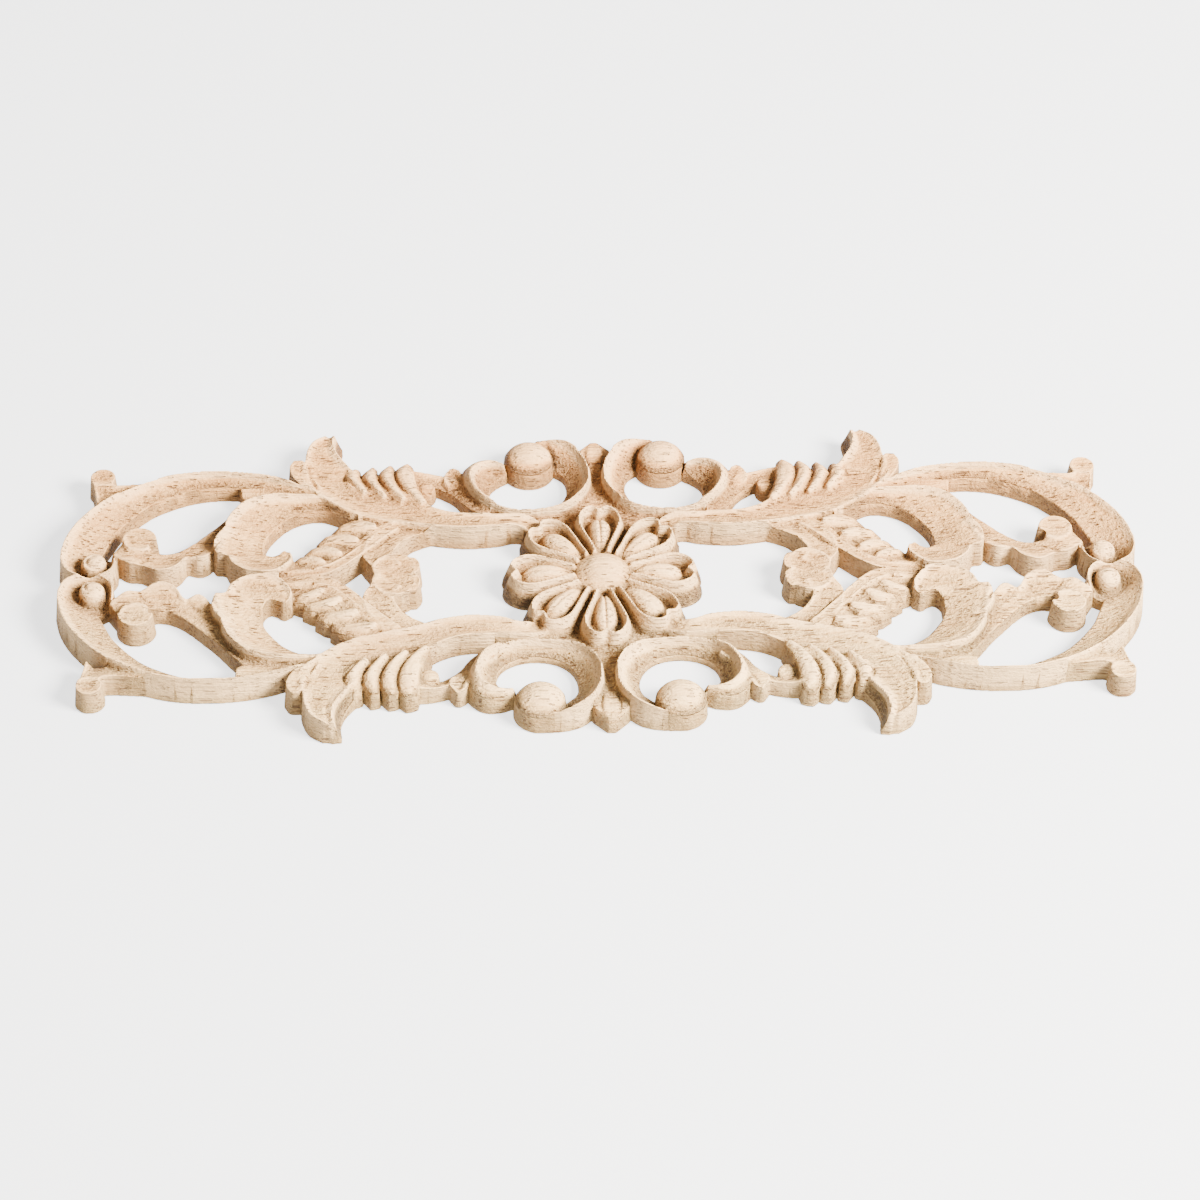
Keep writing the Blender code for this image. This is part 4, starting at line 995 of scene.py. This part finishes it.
def pore_pattern(tree, where):
    """Short pores along the grain, crowded in some areas: their shape, and how dark each is."""
    cells = node(tree, "ShaderNodeTexVoronoi", (-1520, 850))
    cells.inputs["Scale"].default_value = 1.0
    tree.links.new(stretched(tree, (-1700, 850), where, PORE_GRID), cells.inputs["Vector"])
    near = ramp(tree, (-1300, 850), cells.outputs["Distance"], [(0.22, WHITE), (0.35, BLACK)])
    chance = node(tree, "ShaderNodeSeparateColor", (-1300, 1050))
    tree.links.new(cells.outputs["Color"], chance.inputs[0])
    crowd = grain(tree, (-1700, 1150), where, PORE_AREA_GRID, 2.0)
    limit = maths(tree, (-1150, 1150), "MULTIPLY", crowd, PORE_SHARE)
    chosen = maths(tree, (-1000, 1050), "LESS_THAN", chance.outputs[0], limit)
    pores = maths(tree, (-850, 900), "MULTIPLY", near, chosen)
    varied = maths(tree, (-1000, 1200), "MULTIPLY", chance.outputs[1], PORE_SPREAD)
    darkness = maths(tree, (-850, 1100), "ADD", varied, PALEST_PORE)
    return pores, maths(tree, (-700, 900), "MULTIPLY", pores, darkness)


def painted_far_shade(tree, where):
    """Painted shade across the board: the near side painted lit, the far side painted darker."""
    parts = node(tree, "ShaderNodeSeparateXYZ", (-1700, -1400))
    tree.links.new(where, parts.inputs[0])
    across = maths(tree, (-1550, -1400), "MULTIPLY", parts.outputs["Y"], FAR_SHADE_PER_METRE)
    across = maths(tree, (-1450, -1400), "ADD", across, 0.5)
    return ramp(tree, (-1300, -1400), across, [(0.25, NEAR_PAINTED_LIGHT_TINT), (0.75, FAR_PAINTED_SHADE_TINT)])


def bump(tree, lines, fuzz, reach, pores):
    """Normal roughened by the grain lines and the nap, and sunk at the pores."""
    nap = maths(tree, (-800, -500), "ADD", reach, FLAT_NAP_BUMP)
    nap = maths(tree, (-650, -400), "MULTIPLY", fuzz, nap)
    grooved = maths(tree, (-650, -550), "MULTIPLY", lines, LINE_BUMP)
    height = maths(tree, (-500, -400), "ADD", nap, grooved)
    sunk = maths(tree, (-500, -550), "MULTIPLY", pores, PORE_BUMP)
    height = maths(tree, (-350, -400), "SUBTRACT", height, sunk)
    n = node(tree, "ShaderNodeBump", (-200, -400))
    n.inputs["Strength"].default_value = WOOD_BUMP_STRENGTH
    n.inputs["Distance"].default_value = WOOD_BUMP_DISTANCE
    tree.links.new(height, n.inputs["Height"])
    return n.outputs[0]


def raw_wood():
    """Unfinished pale rubberwood: cream to pink-beige boards, short brown pores, fuzzy hollows, with painted
    shade on walls, in hollows and on the far side, and a painted highlight on crests.
    """
    mat = bpy.data.materials.new("raw_rubberwood")
    mat.use_nodes = True
    t = mat.node_tree
    shader = t.nodes["Principled BSDF"]
    where = node(t, "ShaderNodeTexCoord", (-1900, 0)).outputs["Object"]
    hollow = node(t, "ShaderNodeAttribute", (-1700, -600), attribute_name="hollow").outputs["Fac"]

    boards = grain(t, (-1700, 500), where, BOARD_GRID, 2.0, 0.5)
    tone = ramp(t, (-1300, 500), boards, [(0.30, WOOD_DEEP), (0.48, WOOD_MID), (0.72, WOOD_PALE)])
    lines = grain(t, (-1700, 250), where, LINE_GRID, 3.0, 0.6)
    line_tone = ramp(t, (-1300, 250), lines, [(0.36, LINE_TINT), (0.56, WHITE)])
    colour = mixed(t, (-1000, 400), LINE_SHARE, tone, line_tone, "MULTIPLY")
    # Painted shade: steep walls are multiplied darker
    colour = mixed(t, (-800, 300), painted_wall_shade_share(t), colour, WALL_PAINTED_SHADE, "MULTIPLY")

    fuzz = grain(t, (-1700, -350), where, FUZZ_GRID, 3.0, 0.6)
    reach = nap_reach(t, where, hollow)
    nap = ramp(t, (-1050, -150), fuzz, [(0.38, FUZZ_DARK), (0.62, FUZZ_LIGHT)])
    nap_share = maths(t, (-800, -350), "MULTIPLY", reach, NAP_SHARE)
    colour = mixed(t, (-600, 200), nap_share, colour, nap, "MULTIPLY")

    # Painted shade: the deeper a place lies below its surroundings, the darker it is painted
    sunk = ramp(t, (-1050, -780), hollow, [(0.0, BLACK), (0.72, WHITE)])
    hollow_shade_share = maths(t, (-800, -780), "MULTIPLY", sunk, HOLLOW_SHADE_SHARE)
    colour = mixed(t, (-500, 250), hollow_shade_share, colour, HOLLOW_PAINTED_SHADE, "MULTIPLY")
    # Painted shade that darkens the far side of the board
    colour = mixed(t, (-450, 250), 1.0, colour, painted_far_shade(t, where), "MULTIPLY")

    pores, darkness = pore_pattern(t, where)
    colour = mixed(t, (-400, 300), darkness, colour, PORE_TINT)
    # Painted highlight: high crests, where the hollow value is negative, are painted lighter
    crest = maths(t, (-1250, -600), "MULTIPLY", hollow, CREST_HIGHLIGHT_GAIN)
    edge = ramp(t, (-1050, -600), crest, [(0.0, BLACK), (0.5, WHITE)])
    edge_highlight_share = maths(t, (-800, -600), "MULTIPLY", edge, EDGE_HIGHLIGHT_SHARE)
    colour = mixed(t, (-250, 200), edge_highlight_share, colour, EDGE_PAINTED_HIGHLIGHT)

    rough = ramp(t, (-500, -100), fuzz, [(0.3, SMOOTH_ROUGHNESS), (0.7, FUZZY_ROUGHNESS)])
    t.links.new(colour, shader.inputs["Base Color"])
    t.links.new(rough, shader.inputs["Roughness"])
    t.links.new(bump(t, lines, fuzz, reach, pores), shader.inputs["Normal"])
    shader.inputs["Specular IOR Level"].default_value = WOOD_SPECULAR
    return mat


def onlay_piece():
    """The carved onlay as one smooth mesh with its wood."""
    verts, faces, tone = mirrored(*fine_quarter())
    mesh = bpy.data.meshes.new("carving")
    mesh.from_pydata(verts, [], faces)
    mesh.validate()
    mesh.attributes.new("hollow", "FLOAT", "POINT").data.foreach_set("value", tone)
    mesh.polygons.foreach_set("use_smooth", [True] * len(mesh.polygons))
    mesh.update()
    mesh.set_sharp_from_angle(angle=radians(SHARP_ANGLE))
    piece = bpy.data.objects.new("carving", mesh)
    bpy.context.scene.collection.objects.link(piece)
    mesh.materials.append(raw_wood())
    return piece


def white_paper():
    """Matt paper with a glow of its own, so that the background stays pale."""
    paper = bpy.data.materials.new("white_paper")
    paper.use_nodes = True
    p = paper.node_tree.nodes["Principled BSDF"]
    p.inputs["Base Color"].default_value = FLOOR_COLOUR
    p.inputs["Roughness"].default_value = FLOOR_ROUGHNESS
    p.inputs["Emission Color"].default_value = GLOW_COLOUR
    p.inputs["Emission Strength"].default_value = FLOOR_GLOW
    p.inputs["Specular IOR Level"].default_value = FLOOR_SPECULAR
    return paper


def studio():
    """Pale floor just under the onlay, an even room light and three soft lamps."""
    corners = [(-1, -1), (1, -1), (1, 1), (-1, 1)]
    mesh = bpy.data.meshes.new("floor")
    mesh.from_pydata([(i * FLOOR_HALF, j * FLOOR_HALF, -FLOOR_DROP) for i, j in corners], [], [(0, 1, 2, 3)])
    floor = bpy.data.objects.new("floor", mesh)
    bpy.context.scene.collection.objects.link(floor)
    mesh.materials.append(white_paper())
    world = bpy.data.worlds.new("soft_room")
    world.use_nodes = True
    back = world.node_tree.nodes["Background"]
    back.inputs[0].default_value = WORLD_COLOUR
    back.inputs[1].default_value = WORLD_POWER
    bpy.context.scene.world = world
    for name, place, aim, size, power, tint in LAMPS:
        data = bpy.data.lights.new(name, "AREA")
        data.shape = "SQUARE"
        data.size = size
        data.energy = power
        data.color = tint
        lamp = bpy.data.objects.new(name, data)
        lamp.location = place
        lamp.rotation_euler = (Vector(aim) - Vector(place)).to_track_quat("-Z", "Y").to_euler()
        bpy.context.scene.collection.objects.link(lamp)


def camera():
    """The photograph's own view: long lens, 44 degrees up, a little to the left."""
    up = radians(CAM_ELEVATION)
    turn = radians(CAM_TURN)
    roll = radians(CAM_ROLL)
    back = Vector((sin(turn) * cos(up), -cos(turn) * cos(up), sin(up)))
    side = Vector((0, 0, 1)).cross(back).normalized()
    top = back.cross(side)
    x = side * cos(roll) + top * sin(roll)
    y = top * cos(roll) - side * sin(roll)
    data = bpy.data.cameras.new("camera")
    data.sensor_width = CAM_SENSOR
    data.lens = CAM_LENS
    data.clip_end = CAM_SIGHT
    eye = bpy.data.objects.new("camera", data)
    m = Matrix((x, y, back)).transposed().to_4x4()
    m.translation = back * CAM_DISTANCE + Vector(CAM_SHIFT)
    eye.matrix_world = m
    bpy.context.scene.collection.objects.link(eye)
    bpy.context.scene.camera = eye


camera()
studio()
carving = onlay_piece()
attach(carving, "root")
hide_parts("onlay")
